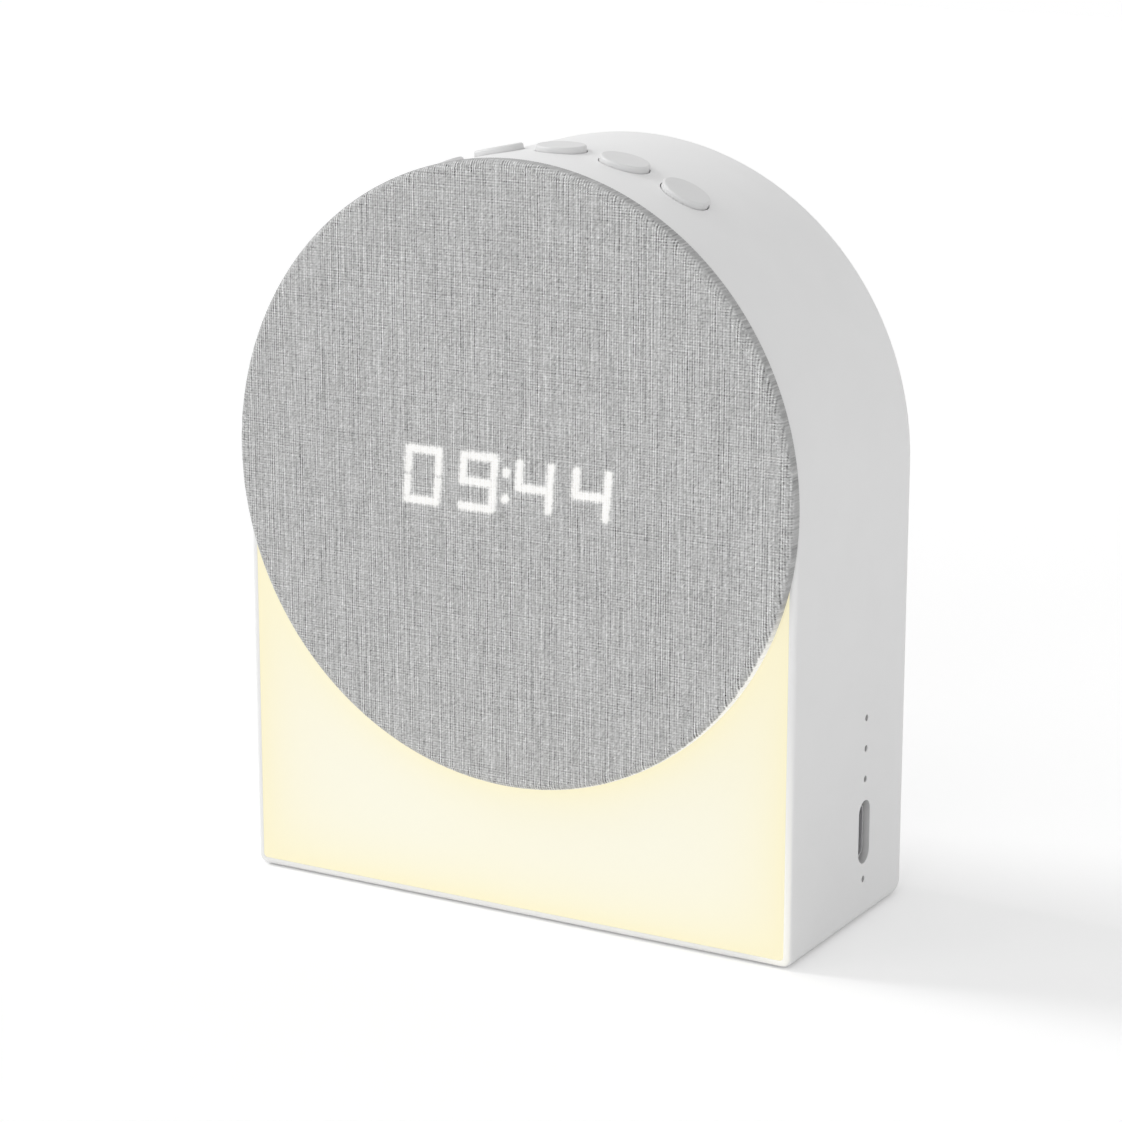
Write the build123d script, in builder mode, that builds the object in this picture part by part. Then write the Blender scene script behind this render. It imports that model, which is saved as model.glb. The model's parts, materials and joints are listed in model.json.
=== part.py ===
from build123d import *

import os
from math import asin, cos, degrees, hypot, radians, sin, sqrt, tan

os.makedirs("parts", exist_ok=True)

# A bedside alarm clock: an arch-shaped body, a round cloth-covered front disc with a display and a
# loudspeaker behind it, and a glowing panel below the disc.
# Z is up, the front faces -Y, and the origin is under the middle of the clock, on the table.
# Depths are measured backwards from the body's front rim. All sizes are in millimetres.

# Body
BODY_WIDTH = 100.0
ARCH_CENTRE_HEIGHT = 72.7
BODY_DEPTH = 44.7
WALL = 2.2
BACK_EDGE_RADIUS = 5.2
FRONT_EDGE_RADIUS = 0.85
BOTTOM_CORNER_RADIUS = 1.5
RIM_WIDTH = 1.15
RIM_DEPTH = 8.0
PANEL_CORNER_RADIUS = 0.7

# Rear cover
COVER_INSET = 6.2
COVER_THICKNESS = 2.0
COVER_CORNER_RADIUS = 2.5
COVER_EDGE_RADIUS = 0.3
LEDGE_WIDTH = 3.0
LEDGE_THICKNESS = 1.8
COVER_SCREW_INSET = 10.5
COVER_SCREW_ANGLE = 45.0
COVER_BOSS_LENGTH = 10.0

# Feet
FOOT_DIAMETER = 8.0
FOOT_RECESS = 0.8
FOOT_PROUD = 0.3
FOOT_SIDE_INSET = 10.0
FOOT_FRONT_DEPTH = 13.5
FOOT_BACK_INSET = 11.5

# Front disc
DISC_OVERHANG = 0.3
DISC_PROUD = 2.5
DISC_EDGE_RADIUS = 1.2
CLOTH_THICKNESS = 0.35
DISC_BOSS_RADIUS = 2.4
DISC_SCREW_ANGLES = (76.0, 140.0)

# Light box and carrier ring
PANEL_THICKNESS = 2.0
CARRIER_INSET = 5.2
CARRIER_WALL = 1.5
LIGHT_BOX_DEPTH = 13.0
LIGHT_BOX_TOP = 62.0
LIGHT_BOX_WALL = 1.0
LIGHT_BOX_FLOOR = 1.5
LUG_RADIUS = 3.4
LUG_THICKNESS = 2.0
LUG_INSET = 8.2
CHASSIS_SCREW_ANGLE = 58.0
CHASSIS_SCREW_HEIGHT = 16.0
CHASSIS_SCREW_INSET = 7.5
CHASSIS_BOSS_LENGTH = 9.0
RIB_THICKNESS = 1.6
LIGHT_BOARD_TOP = 50.0
LIGHT_BOARD_THICKNESS = 1.0
LED_COLUMNS = 9
LED_SIDE_INSET = 14.0
LED_ROWS = 4
LED_ROW_PITCH = 9.0
LED_FIRST_HEIGHT = 7.0
LED_WIDTH = 2.8
LED_HEIGHT = 0.7

# Top buttons and their switches
BUTTON_COUNT = 5
BUTTON_DIAMETER = 8.0
BUTTON_LAND = 3.43
BUTTON_ROW_SHIFT = 0.83
BUTTON_DEPTH = 14.3
BUTTON_PROUD = 0.9
BUTTON_TRAVEL = 0.4
BUTTON_GAP = 0.2
BUTTON_EDGE_RADIUS = 0.35
BUTTON_LIP = 0.8
BUTTON_LIP_THICKNESS = 1.0
STEM_DIAMETER = 3.0
STEM_LENGTH = 1.6
TACT_SIZE = 4.5
TACT_HEIGHT = 2.0
PLUNGER_DIAMETER = 2.0
PLUNGER_RISE = 0.6
PLUNGER_ENTRY = 0.2
PLUNGER_GAP = 0.15
BUTTON_BOARD_THICKNESS = 0.3
BRACKET_THICKNESS = 1.2
BRACKET_WIDTH = 9.6
BRACKET_TAB_THICKNESS = 1.5
BRACKET_TAB_ANGLE = 12.8
BRACKET_TAB_RADIUS = 3.2
BRACKET_BOSS_RADIUS = 2.8
BRACKET_BOSS_INSET = 7.5

# Display
DIGIT_COUNT = 4
DIGIT_HEIGHT = 9.75
DIGIT_PITCH = 10.2
DIGIT_WIDTH = 5.6
STROKE = 1.3
STROKE_GAP = 0.25
SLANT = 4.5
COLON_RADIUS = 0.65
COLON_SPREAD = 2.2
DISPLAY_SHIFT = 0.4
DISPLAY_DROP = 0.5
DISPLAY_MARGIN = 1.5
REFLECTOR_BACK = 4.0
SEGMENT_DEPTH = 5.0
DISPLAY_BOARD_THICKNESS = 1.2
DISPLAY_EAR = 5.5
CHIP_SIZE = 0.8
CHIP_HEIGHT = 0.4

# Loudspeaker
SPEAKER_EDGE_GAP = 1.3
SPEAKER_DISPLAY_GAP = 0.625
SPEAKER_DEPTH = 2.0
SPEAKER_LIP = 2.6
SPEAKER_PLATE = 1.0
SPEAKER_EAR_RADIUS = 2.3
SPEAKER_EAR_REACH = 1.5
GASKET_WIDTH = 1.8
SURROUND_THICKNESS = 0.3
SURROUND_ROLL = 0.9
CONE_THICKNESS = 0.4
CONE_LIP = 1.0
CONE_DEPTH = 4.7
DUST_CAP_RADIUS = 6.2
DUST_CAP_RISE = 1.8
COIL_RADIUS = 5.2
COIL_FORMER = 0.15
COIL_WINDING = 0.25
COIL_GAP = 0.3
BASKET_DEPTH = 10.0
BASKET_WALL = 1.0
TOP_PLATE_THICKNESS = 2.0
MAGNET_THICKNESS = 5.0
MAGNET_RADIUS = 12.5
YOKE_THICKNESS = 2.0
SPIDER_THICKNESS = 0.3
SPIDER_WAVE = 0.5
SPIDER_WAVES = 3
GRILLE_HOLE_DIAMETER = 1.6
GRILLE_HOLE_PITCH = 2.9
GRILLE_RINGS = 5

# Main board, socket and indicators
PORT_DEPTH = 26.4
BOARD_THICKNESS = 1.6
BOARD_LEFT = -30.0
BOARD_BOTTOM = 4.0
BOARD_STRIP_TOP = 22.0
BOARD_TOP = 60.0
BOARD_EDGE_GAP = 1.3
BOARD_MAGNET_GAP = 5.5
POST_RADIUS = 2.3
LEFT_POST = (4.0, 9.0)
RIGHT_POST = (13.5, 8.0)
TOP_POST = (2.9, 56.0)
USB_HEIGHT = 15.0
USB_OPENING_LENGTH = 10.65
USB_OPENING_WIDTH = 4.2
USB_RECESS = 1.0
USB_SHELL_WIDTH = 8.94
USB_SHELL_THICKNESS = 3.2
USB_SHELL_LENGTH = 7.35
USB_SHELL_WALL = 0.25
USB_TONGUE_WIDTH = 6.7
USB_TONGUE_THICKNESS = 0.7
USB_TONGUE_SETBACK = 0.8
USB_BLOCK_LENGTH = 1.5
PINHOLE_DIAMETER = 1.1
STATUS_LOWEST = 23.93
STATUS_PITCH = 5.09
STATUS_COUNT = 3
STATUS_LED_SIZE = 2.0
LIGHT_PIPE_DIAMETER = 0.9
LIGHT_PIPE_SETBACK = 0.5
LIGHT_PIPE_BAR = 1.5
LIGHT_PIPE_BAR_WIDTH = 2.0
RESET_HEIGHT = 7.02
RESET_SIZE = 4.0
RESET_BODY_LENGTH = 3.0
RESET_PLUNGER_DIAMETER = 1.0
RESET_PLUNGER_RISE = 1.2
RESET_TRAVEL = 0.3
RESET_WALL_GAP = 0.9

# Wires between the boards
WIRE_DIAMETER = 0.8
WIRE_SPACING = 1.3
WIRE_HOLE_RADIUS = 1.6
WIRE_ROUND_SHARE = 0.45
SOCKET_HEIGHT = 3.5
SOCKET_WIDTH = 4.5
SOCKET_LENGTH = 6.0
SOCKET_EDGE_GAP = 3.5
WIRE_MAGNET_GAP = 2.5
BUTTON_SOCKET_Z = 56.0
DISPLAY_SOCKET_Z = 47.5
SPEAKER_SOCKET_Z = 39.0
BATTERY_SOCKET_X = -15.0
LIGHT_SOCKET_X = -25.0
LOW_SOCKET_Z = 17.5
LIGHT_LANE_X = -34.0
DISPLAY_WIRE_DROP = 4.2

# Battery
BATTERY_WIDTH = 34.0
BATTERY_HEIGHT = 50.0
BATTERY_THICKNESS = 8.0
BATTERY_X = -13.0
BATTERY_Z = 50.0
BATTERY_EDGE_RADIUS = 2.0
FOAM_THICKNESS = 0.8
FOAM_MARGIN = 3.0
FENCE_THICKNESS = 1.2
FENCE_HEIGHT = 4.0

# Screws and clearances
SCREW_RADIUS = 1.0
SCREW_LENGTH = 6.0
SCREW_HEAD_RADIUS = 1.9
SCREW_HEAD_HEIGHT = 1.2
SCREW_SOCKET_RADIUS = 0.9
SCREW_SOCKET_DEPTH = 0.6
BOSS_RADIUS = 2.75
PILOT_GAP = 0.03
SCREW_GAP = 0.2
FIT = 0.05
SEAM = 0.15

# Worked-out places
ARCH_RADIUS = BODY_WIDTH / 2
RIM_Y = DISC_PROUD - (BODY_DEPTH + DISC_PROUD) / 2
BODY_BOTTOM = FOOT_PROUD
DISC_RADIUS = ARCH_RADIUS + DISC_OVERHANG
PLATE_FRONT = CLOTH_THICKNESS - DISC_PROUD
CARRIER_RADIUS = ARCH_RADIUS - CARRIER_INSET
CARRIER_OUTSIDE = CARRIER_RADIUS + CARRIER_WALL
LUG_RING = ARCH_RADIUS - LUG_INSET
BACK_WALL = COVER_THICKNESS + LEDGE_THICKNESS
COVER_INSIDE = BODY_DEPTH - COVER_THICKNESS
WALL_INSIDE = ARCH_RADIUS - WALL
DISPLAY_Z = ARCH_CENTRE_HEIGHT - DISPLAY_DROP
DISPLAY_WIDTH = (DIGIT_COUNT - 1) * DIGIT_PITCH + DIGIT_WIDTH + STROKE + 2 * DISPLAY_MARGIN
DISPLAY_HEIGHT = DIGIT_HEIGHT + 2 * DISPLAY_MARGIN
SPEAKER_TOP = DISPLAY_Z - DISPLAY_HEIGHT / 2 - SPEAKER_DISPLAY_GAP
SPEAKER_BOTTOM = ARCH_CENTRE_HEIGHT - CARRIER_RADIUS + SPEAKER_EDGE_GAP
SPEAKER_RADIUS = (SPEAKER_TOP - SPEAKER_BOTTOM) / 2
SPEAKER_Z = (SPEAKER_TOP + SPEAKER_BOTTOM) / 2
BOARD_FRONT = PORT_DEPTH + USB_SHELL_THICKNESS / 2
BOARD_BACK = BOARD_FRONT + BOARD_THICKNESS
BOARD_RIGHT = WALL_INSIDE - BOARD_EDGE_GAP
BOARD_TOWER_LEFT = MAGNET_RADIUS + BOARD_MAGNET_GAP
TOWER_SOCKET_X = BOARD_TOWER_LEFT + SOCKET_EDGE_GAP
WIRE_LANE_X = MAGNET_RADIUS + WIRE_MAGNET_GAP

# How a solid stands on a plane: centred on it, and rising from it or hanging below it
RISING = (Align.CENTER, Align.CENTER, Align.MIN)
SINKING = (Align.CENTER, Align.CENTER, Align.MAX)


# Planes and places

def front_plane(depth):
    """The plane across the clock at this depth, facing the front, with X to the right and Y up."""
    return Plane.XZ.offset(-(RIM_Y + depth))


def front_spot(x, z, depth):
    """The same plane with its origin at this place."""
    return Plane((x, RIM_Y + depth, z), x_dir=(1, 0, 0), z_dir=(0, -1, 0))


def back_spot(x, z, depth):
    """A plane at this place that faces the back."""
    return Plane((x, RIM_Y + depth, z), x_dir=(-1, 0, 0), z_dir=(0, 1, 0))


def side_spot(x, z, depth):
    """A plane at this place that faces the right side, with X to the back and Y up."""
    return Plane((x, RIM_Y + depth, z), x_dir=(0, 1, 0), z_dir=(1, 0, 0))


def radial_spot(angle, radius, depth):
    """A plane square to the arch's radius at this angle from the top, facing outwards."""
    outwards = Vector(sin(radians(angle)), 0, cos(radians(angle)))
    middle = Vector(0, RIM_Y + depth, ARCH_CENTRE_HEIGHT)
    return Plane(middle + outwards * radius, x_dir=(0, 1, 0), z_dir=outwards)


def on_arch(angle, radius):
    """The X and Z of a point at this angle from the top and this far from the arch's centre."""
    return radius * sin(radians(angle)), ARCH_CENTRE_HEIGHT + radius * cos(radians(angle))


def both_sides(spots):
    """The spots and their mirror images."""
    return [(side * x, z) for x, z in spots for side in (-1, 1)]


# Shapes used more than once

def arch(inset=0.0, corner=0.0):
    """Adds the body's outline, drawn in by the inset, to the sketch in use."""
    half = ARCH_RADIUS - inset
    foot = BODY_BOTTOM + inset
    with BuildLine() as outline:
        Polyline((-half, ARCH_CENTRE_HEIGHT), (-half, foot), (half, foot), (half, ARCH_CENTRE_HEIGHT))
        CenterArc((0, ARCH_CENTRE_HEIGHT), half, 0, 180)
    make_face(outline.edges())
    if corner > 0:
        fillet(vertices().group_by(Axis.Y)[0], corner)


def keep_below(height):
    """Cuts the sketch in use off above this height."""
    with Locations((0, height)):
        Rectangle(2 * BODY_WIDTH, 2 * BODY_WIDTH, align=(Align.CENTER, Align.MAX), mode=Mode.INTERSECT)


def turned(centre_height, points):
    """Adds a solid turned about the front-to-back axis at this height, from radius and depth pairs."""
    with BuildSketch(Plane.XY.offset(centre_height)) as profile:
        Polygon(*[(radius, RIM_Y + depth) for radius, depth in points], align=None)
    revolve(profile.sketch, axis=Axis((0, 0, centre_height), (0, 1, 0)))


def screw(seat, length=SCREW_LENGTH):
    """Adds a pan-head screw whose head stands on the seat."""
    with Locations(seat):
        Cylinder(SCREW_RADIUS, length, align=SINKING)
        Cylinder(SCREW_HEAD_RADIUS, SCREW_HEAD_HEIGHT, align=RISING)
    with Locations(seat.offset(SCREW_HEAD_HEIGHT)):
        Cylinder(SCREW_SOCKET_RADIUS, SCREW_SOCKET_DEPTH, align=SINKING, mode=Mode.SUBTRACT)


def pilot(seat, length=SCREW_LENGTH):
    """Drills the hole that a screw bites into, a little deeper than the screw."""
    with Locations(seat):
        Cylinder(SCREW_RADIUS + PILOT_GAP, length + SCREW_GAP, align=SINKING, mode=Mode.SUBTRACT)


def clearance_hole(seat, thickness):
    """Drills the hole that a screw passes through freely."""
    with Locations(seat):
        Cylinder(SCREW_RADIUS + SCREW_GAP, thickness, align=SINKING, mode=Mode.SUBTRACT)


def wall_boss(x, z, front, length, outwards):
    """Adds a screw boss that runs back from the front depth, with a rib to the wall beside it."""
    spot = Plane((x, RIM_Y + front + length, z), x_dir=(outwards.X, 0, outwards.Z), z_dir=(0, -1, 0))
    across = Vector(x, 0, z - ARCH_CENTRE_HEIGHT).dot(outwards)
    reach = WALL_INSIDE + WALL / 2 - across
    with Locations(spot):
        Cylinder(BOSS_RADIUS, length, align=RISING)
        Box(reach, RIB_THICKNESS, length, align=(Align.MIN, Align.CENTER, Align.MIN))


# Where the screws, buttons and indicators are

COVER_SCREWS = both_sides([
    on_arch(COVER_SCREW_ANGLE, ARCH_RADIUS - COVER_SCREW_INSET),
    (ARCH_RADIUS - COVER_SCREW_INSET, BODY_BOTTOM + COVER_SCREW_INSET),
])
DISC_SCREWS = both_sides([on_arch(angle, LUG_RING) for angle in DISC_SCREW_ANGLES])
UPPER_CHASSIS_SCREWS = both_sides([on_arch(CHASSIS_SCREW_ANGLE, LUG_RING)])
LOWER_CHASSIS_SCREWS = both_sides([(ARCH_RADIUS - CHASSIS_SCREW_INSET, CHASSIS_SCREW_HEIGHT)])
BUTTON_PITCH = degrees((BUTTON_DIAMETER + BUTTON_LAND) / ARCH_RADIUS)
BUTTON_MIDDLE = degrees(BUTTON_ROW_SHIFT / ARCH_RADIUS)
BUTTON_ANGLES = [
    BUTTON_MIDDLE + (number - (BUTTON_COUNT - 1) / 2) * BUTTON_PITCH for number in range(BUTTON_COUNT)
]
STATUS_HEIGHTS = [STATUS_LOWEST + number * STATUS_PITCH for number in range(STATUS_COUNT)]
POST_SPOTS = [
    (BOARD_LEFT + LEFT_POST[0], LEFT_POST[1]),
    (BOARD_RIGHT - RIGHT_POST[0], RIGHT_POST[1]),
    (BOARD_RIGHT - TOP_POST[0], TOP_POST[1]),
]
FOOT_SPOTS = [
    (side * (ARCH_RADIUS - FOOT_SIDE_INSET), RIM_Y + depth)
    for side in (-1, 1)
    for depth in (FOOT_FRONT_DEPTH, BODY_DEPTH - FOOT_BACK_INSET)
]


# Main housing

with BuildPart() as main_housing:
    with BuildSketch(front_plane(BODY_DEPTH)):
        arch(corner=BOTTOM_CORNER_RADIUS)
    extrude(amount=BODY_DEPTH)
    fillet(main_housing.faces().sort_by(Axis.Y)[-1].edges(), BACK_EDGE_RADIUS)
    fillet(main_housing.faces().sort_by(Axis.Y)[0].edges(), FRONT_EDGE_RADIUS)
    # The front opening behind the thin rim
    with BuildSketch(front_plane(RIM_DEPTH)):
        arch(RIM_WIDTH, PANEL_CORNER_RADIUS)
    extrude(amount=RIM_DEPTH, mode=Mode.SUBTRACT)
    # The cavity
    with BuildSketch(front_plane(BODY_DEPTH - BACK_WALL)):
        arch(WALL, PANEL_CORNER_RADIUS)
    extrude(amount=BODY_DEPTH - BACK_WALL - RIM_DEPTH, mode=Mode.SUBTRACT)
    # The rear cover's recess, and the opening inside its ledge
    with BuildSketch(front_plane(BODY_DEPTH)):
        arch(COVER_INSET, COVER_CORNER_RADIUS)
    extrude(amount=COVER_THICKNESS, mode=Mode.SUBTRACT)
    with BuildSketch(front_plane(COVER_INSIDE)):
        arch(COVER_INSET + LEDGE_WIDTH)
    extrude(amount=LEDGE_THICKNESS, mode=Mode.SUBTRACT)
    # Screw bosses for the rear cover and the chassis
    for x, z in COVER_SCREWS:
        with Locations(front_spot(x, z, COVER_INSIDE)):
            Cylinder(BOSS_RADIUS, COVER_BOSS_LENGTH, align=RISING)
        pilot(back_spot(x, z, COVER_INSIDE))
    for x, z in UPPER_CHASSIS_SCREWS:
        outwards = Vector(x, 0, z - ARCH_CENTRE_HEIGHT).normalized()
        wall_boss(x, z, RIM_DEPTH, CHASSIS_BOSS_LENGTH, outwards)
        pilot(front_spot(x, z, RIM_DEPTH))
    for x, z in LOWER_CHASSIS_SCREWS:
        wall_boss(x, z, LIGHT_BOX_DEPTH, CHASSIS_BOSS_LENGTH, Vector(x, 0, 0).normalized())
        pilot(front_spot(x, z, LIGHT_BOX_DEPTH))
    # Button holes
    for angle in BUTTON_ANGLES:
        with Locations(radial_spot(angle, WALL_INSIDE - WALL, BUTTON_DEPTH)):
            Cylinder(BUTTON_DIAMETER / 2 + BUTTON_GAP, 3 * WALL, align=RISING, mode=Mode.SUBTRACT)
    # The socket's slot, the indicators' pinholes and the reset pinhole in the right wall
    with BuildSketch(side_spot(WALL_INSIDE - WALL / 2, 0, PORT_DEPTH)):
        with Locations((0, USB_HEIGHT)):
            SlotOverall(USB_OPENING_LENGTH, USB_OPENING_WIDTH, rotation=90)
        with Locations([(0, height) for height in [RESET_HEIGHT] + STATUS_HEIGHTS]):
            Circle(PINHOLE_DIAMETER / 2)
    extrude(amount=2 * WALL, mode=Mode.SUBTRACT)
    # Recesses for the feet
    with Locations([(x, y, BODY_BOTTOM) for x, y in FOOT_SPOTS]):
        Cylinder(FOOT_DIAMETER / 2 + FIT, FOOT_RECESS, align=RISING, mode=Mode.SUBTRACT)
main_housing.part.label = "main_housing"
export_step(main_housing.part, "parts/main_housing.step")

with BuildPart() as rubber_feet:
    with Locations([(x, y, 0) for x, y in FOOT_SPOTS]):
        Cylinder(FOOT_DIAMETER / 2, FOOT_PROUD + FOOT_RECESS, align=RISING)
rubber_feet.part.label = "rubber_feet"
export_step(rubber_feet.part, "parts/rubber_feet.step")


# Rear cover and its screws

with BuildPart() as rear_cover:
    with BuildSketch(front_plane(BODY_DEPTH)):
        arch(COVER_INSET + SEAM, COVER_CORNER_RADIUS - SEAM)
    extrude(amount=COVER_THICKNESS)
    fillet(rear_cover.faces().sort_by(Axis.Y)[-1].edges(), COVER_EDGE_RADIUS)
    # A low fence that holds the battery
    with BuildSketch(front_spot(BATTERY_X, BATTERY_Z, COVER_INSIDE)):
        outside = 2 * (FIT + FENCE_THICKNESS)
        Rectangle(BATTERY_WIDTH + outside, BATTERY_HEIGHT + outside)
        Rectangle(BATTERY_WIDTH + 2 * FIT, BATTERY_HEIGHT + 2 * FIT, mode=Mode.SUBTRACT)
    extrude(amount=FENCE_HEIGHT)
    for x, z in COVER_SCREWS:
        with Locations(back_spot(x, z, BODY_DEPTH)):
            CounterBoreHole(
                SCREW_RADIUS + SCREW_GAP,
                SCREW_HEAD_RADIUS + SCREW_GAP,
                SCREW_HEAD_HEIGHT,
                COVER_THICKNESS,
            )
rear_cover.part.label = "rear_cover"
export_step(rear_cover.part, "parts/rear_cover.step")

with BuildPart() as rear_cover_screws:
    for x, z in COVER_SCREWS:
        screw(back_spot(x, z, BODY_DEPTH - SCREW_HEAD_HEIGHT))
rear_cover_screws.part.label = "rear_cover_screws"
export_step(rear_cover_screws.part, "parts/rear_cover_screws.step")


# Glowing front panel, flush with the rim

with BuildPart() as light_diffuser:
    with BuildSketch(front_plane(PANEL_THICKNESS)):
        arch(RIM_WIDTH + FIT, PANEL_CORNER_RADIUS)
        with Locations((0, ARCH_CENTRE_HEIGHT)):
            Circle(CARRIER_OUTSIDE + SEAM, mode=Mode.SUBTRACT)
    extrude(amount=PANEL_THICKNESS)
light_diffuser.part.label = "light_diffuser"
export_step(light_diffuser.part, "parts/light_diffuser.step")


# Front chassis: the light box below, the carrier ring round the disc's works, and the board's posts

LIGHT_BOX_BACK = LIGHT_BOX_DEPTH - LIGHT_BOX_FLOOR
POCKET_INSET = WALL + FIT + LIGHT_BOX_WALL
BRACKET_ANGLE = BUTTON_ANGLES[-1] + BRACKET_TAB_ANGLE
BRACKET_FRONT = BUTTON_DEPTH - BRACKET_WIDTH / 2
BRACKET_BACK = BRACKET_FRONT + BRACKET_WIDTH
BRACKET_SCREWS = both_sides([on_arch(BRACKET_ANGLE, ARCH_RADIUS - BRACKET_BOSS_INSET)])

with BuildPart() as front_chassis:
    with BuildSketch(front_plane(RIM_DEPTH)):
        arch(RIM_WIDTH + FIT, PANEL_CORNER_RADIUS)
    extrude(amount=RIM_DEPTH - PANEL_THICKNESS)
    with BuildSketch(front_plane(LIGHT_BOX_DEPTH)):
        arch(WALL + FIT, PANEL_CORNER_RADIUS)
        keep_below(LIGHT_BOX_TOP)
    extrude(amount=LIGHT_BOX_DEPTH - RIM_DEPTH)
    with Locations(front_spot(0, ARCH_CENTRE_HEIGHT, PANEL_THICKNESS)):
        Cylinder(CARRIER_OUTSIDE, PANEL_THICKNESS, align=RISING)
    with Locations(front_spot(0, ARCH_CENTRE_HEIGHT, LIGHT_BOX_DEPTH)):
        Cylinder(CARRIER_RADIUS, LIGHT_BOX_DEPTH, align=RISING, mode=Mode.SUBTRACT)
    with BuildSketch(front_plane(LIGHT_BOX_BACK)):
        arch(POCKET_INSET)
        with Locations((0, ARCH_CENTRE_HEIGHT)):
            Circle(CARRIER_OUTSIDE, mode=Mode.SUBTRACT)
        keep_below(LIGHT_BOX_TOP - LIGHT_BOX_WALL)
    extrude(amount=LIGHT_BOX_BACK - PANEL_THICKNESS, mode=Mode.SUBTRACT)
    # Lugs for the disc's screws, which come from behind, and the chassis's own, from the front
    for x, z in DISC_SCREWS + UPPER_CHASSIS_SCREWS:
        with Locations(front_spot(x, z, RIM_DEPTH)):
            Cylinder(LUG_RADIUS, LUG_THICKNESS, align=RISING)
        clearance_hole(back_spot(x, z, RIM_DEPTH), LUG_THICKNESS)
    for x, z in LOWER_CHASSIS_SCREWS:
        clearance_hole(back_spot(x, z, LIGHT_BOX_DEPTH), LIGHT_BOX_FLOOR)
    # The light board's wires pass through the floor
    with Locations(back_spot(LIGHT_LANE_X, LOW_SOCKET_Z, LIGHT_BOX_DEPTH)):
        Cylinder(WIRE_HOLE_RADIUS, LIGHT_BOX_FLOOR, align=SINKING, mode=Mode.SUBTRACT)
    # Bosses for the button bracket
    for x, z in BRACKET_SCREWS:
        with Locations(front_spot(x, z, BRACKET_FRONT)):
            Cylinder(BRACKET_BOSS_RADIUS, BRACKET_FRONT - PANEL_THICKNESS, align=RISING)
        pilot(back_spot(x, z, BRACKET_FRONT))
    # Posts for the main board
    for x, z in POST_SPOTS:
        with Locations(front_spot(x, z, BOARD_FRONT)):
            Cylinder(POST_RADIUS, BOARD_FRONT - LIGHT_BOX_DEPTH, align=RISING)
        pilot(back_spot(x, z, BOARD_FRONT))
front_chassis.part.label = "front_chassis"
export_step(front_chassis.part, "parts/front_chassis.step")

with BuildPart() as chassis_screws:
    for x, z in UPPER_CHASSIS_SCREWS:
        screw(front_spot(x, z, RIM_DEPTH - LUG_THICKNESS))
    for x, z in LOWER_CHASSIS_SCREWS:
        screw(front_spot(x, z, LIGHT_BOX_BACK))
chassis_screws.part.label = "chassis_screws"
export_step(chassis_screws.part, "parts/chassis_screws.step")


# Light board on the light box's floor, and its lamps

LIGHT_BOARD_FRONT = LIGHT_BOX_BACK - LIGHT_BOARD_THICKNESS
LIGHT_BOARD_HOLE = CARRIER_OUTSIDE + SEAM
LED_COLUMN_PITCH = 2 * (ARCH_RADIUS - LED_SIDE_INSET) / (LED_COLUMNS - 1)
LED_SPOTS = [
    ((column - (LED_COLUMNS - 1) / 2) * LED_COLUMN_PITCH, LED_FIRST_HEIGHT + row * LED_ROW_PITCH)
    for column in range(LED_COLUMNS)
    for row in range(LED_ROWS)
]

with BuildPart() as light_board:
    with BuildSketch(front_plane(LIGHT_BOX_BACK)):
        arch(POCKET_INSET + SEAM)
        with Locations((0, ARCH_CENTRE_HEIGHT)):
            Circle(LIGHT_BOARD_HOLE, mode=Mode.SUBTRACT)
        keep_below(LIGHT_BOARD_TOP)
        with Locations(LOWER_CHASSIS_SCREWS):
            Circle(SCREW_HEAD_RADIUS + SCREW_GAP, mode=Mode.SUBTRACT)
    extrude(amount=LIGHT_BOARD_THICKNESS)
light_board.part.label = "light_board"
export_step(light_board.part, "parts/light_board.step")

with BuildPart() as light_leds:
    for x, z in LED_SPOTS:
        if hypot(x, z - ARCH_CENTRE_HEIGHT) > LIGHT_BOARD_HOLE + LED_WIDTH:
            with Locations(front_spot(x, z, LIGHT_BOARD_FRONT)):
                Box(LED_WIDTH, LED_WIDTH, LED_HEIGHT, align=RISING)
light_leds.part.label = "light_leds"
export_step(light_leds.part, "parts/light_leds.step")


# Front disc: a perforated plate in a cloth skin

DISPLAY_SCREWS = [
    (DISPLAY_SHIFT + side * (DISPLAY_WIDTH / 2 + DISPLAY_EAR / 2), DISPLAY_Z) for side in (-1, 1)
]
SPEAKER_EAR_SPREAD = (SPEAKER_RADIUS + SPEAKER_EAR_REACH) / sqrt(2)
SPEAKER_SCREWS = [
    (across * SPEAKER_EAR_SPREAD, SPEAKER_Z + up * SPEAKER_EAR_SPREAD)
    for across in (-1, 1)
    for up in (-1, 1)
]

with BuildPart() as fabric_cover:
    with Locations(front_spot(0, ARCH_CENTRE_HEIGHT, 0)):
        Cylinder(DISC_RADIUS, DISC_PROUD, align=RISING)
    fillet(fabric_cover.edges().group_by(Axis.Y)[0], DISC_EDGE_RADIUS)
    with BuildPart(mode=Mode.SUBTRACT) as inside:
        with Locations(front_spot(0, ARCH_CENTRE_HEIGHT, 0)):
            Cylinder(DISC_RADIUS - CLOTH_THICKNESS, -PLATE_FRONT, align=RISING)
        fillet(inside.edges().group_by(Axis.Y)[0], DISC_EDGE_RADIUS - CLOTH_THICKNESS)
fabric_cover.part.label = "fabric_cover"
export_step(fabric_cover.part, "parts/fabric_cover.step")

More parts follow.
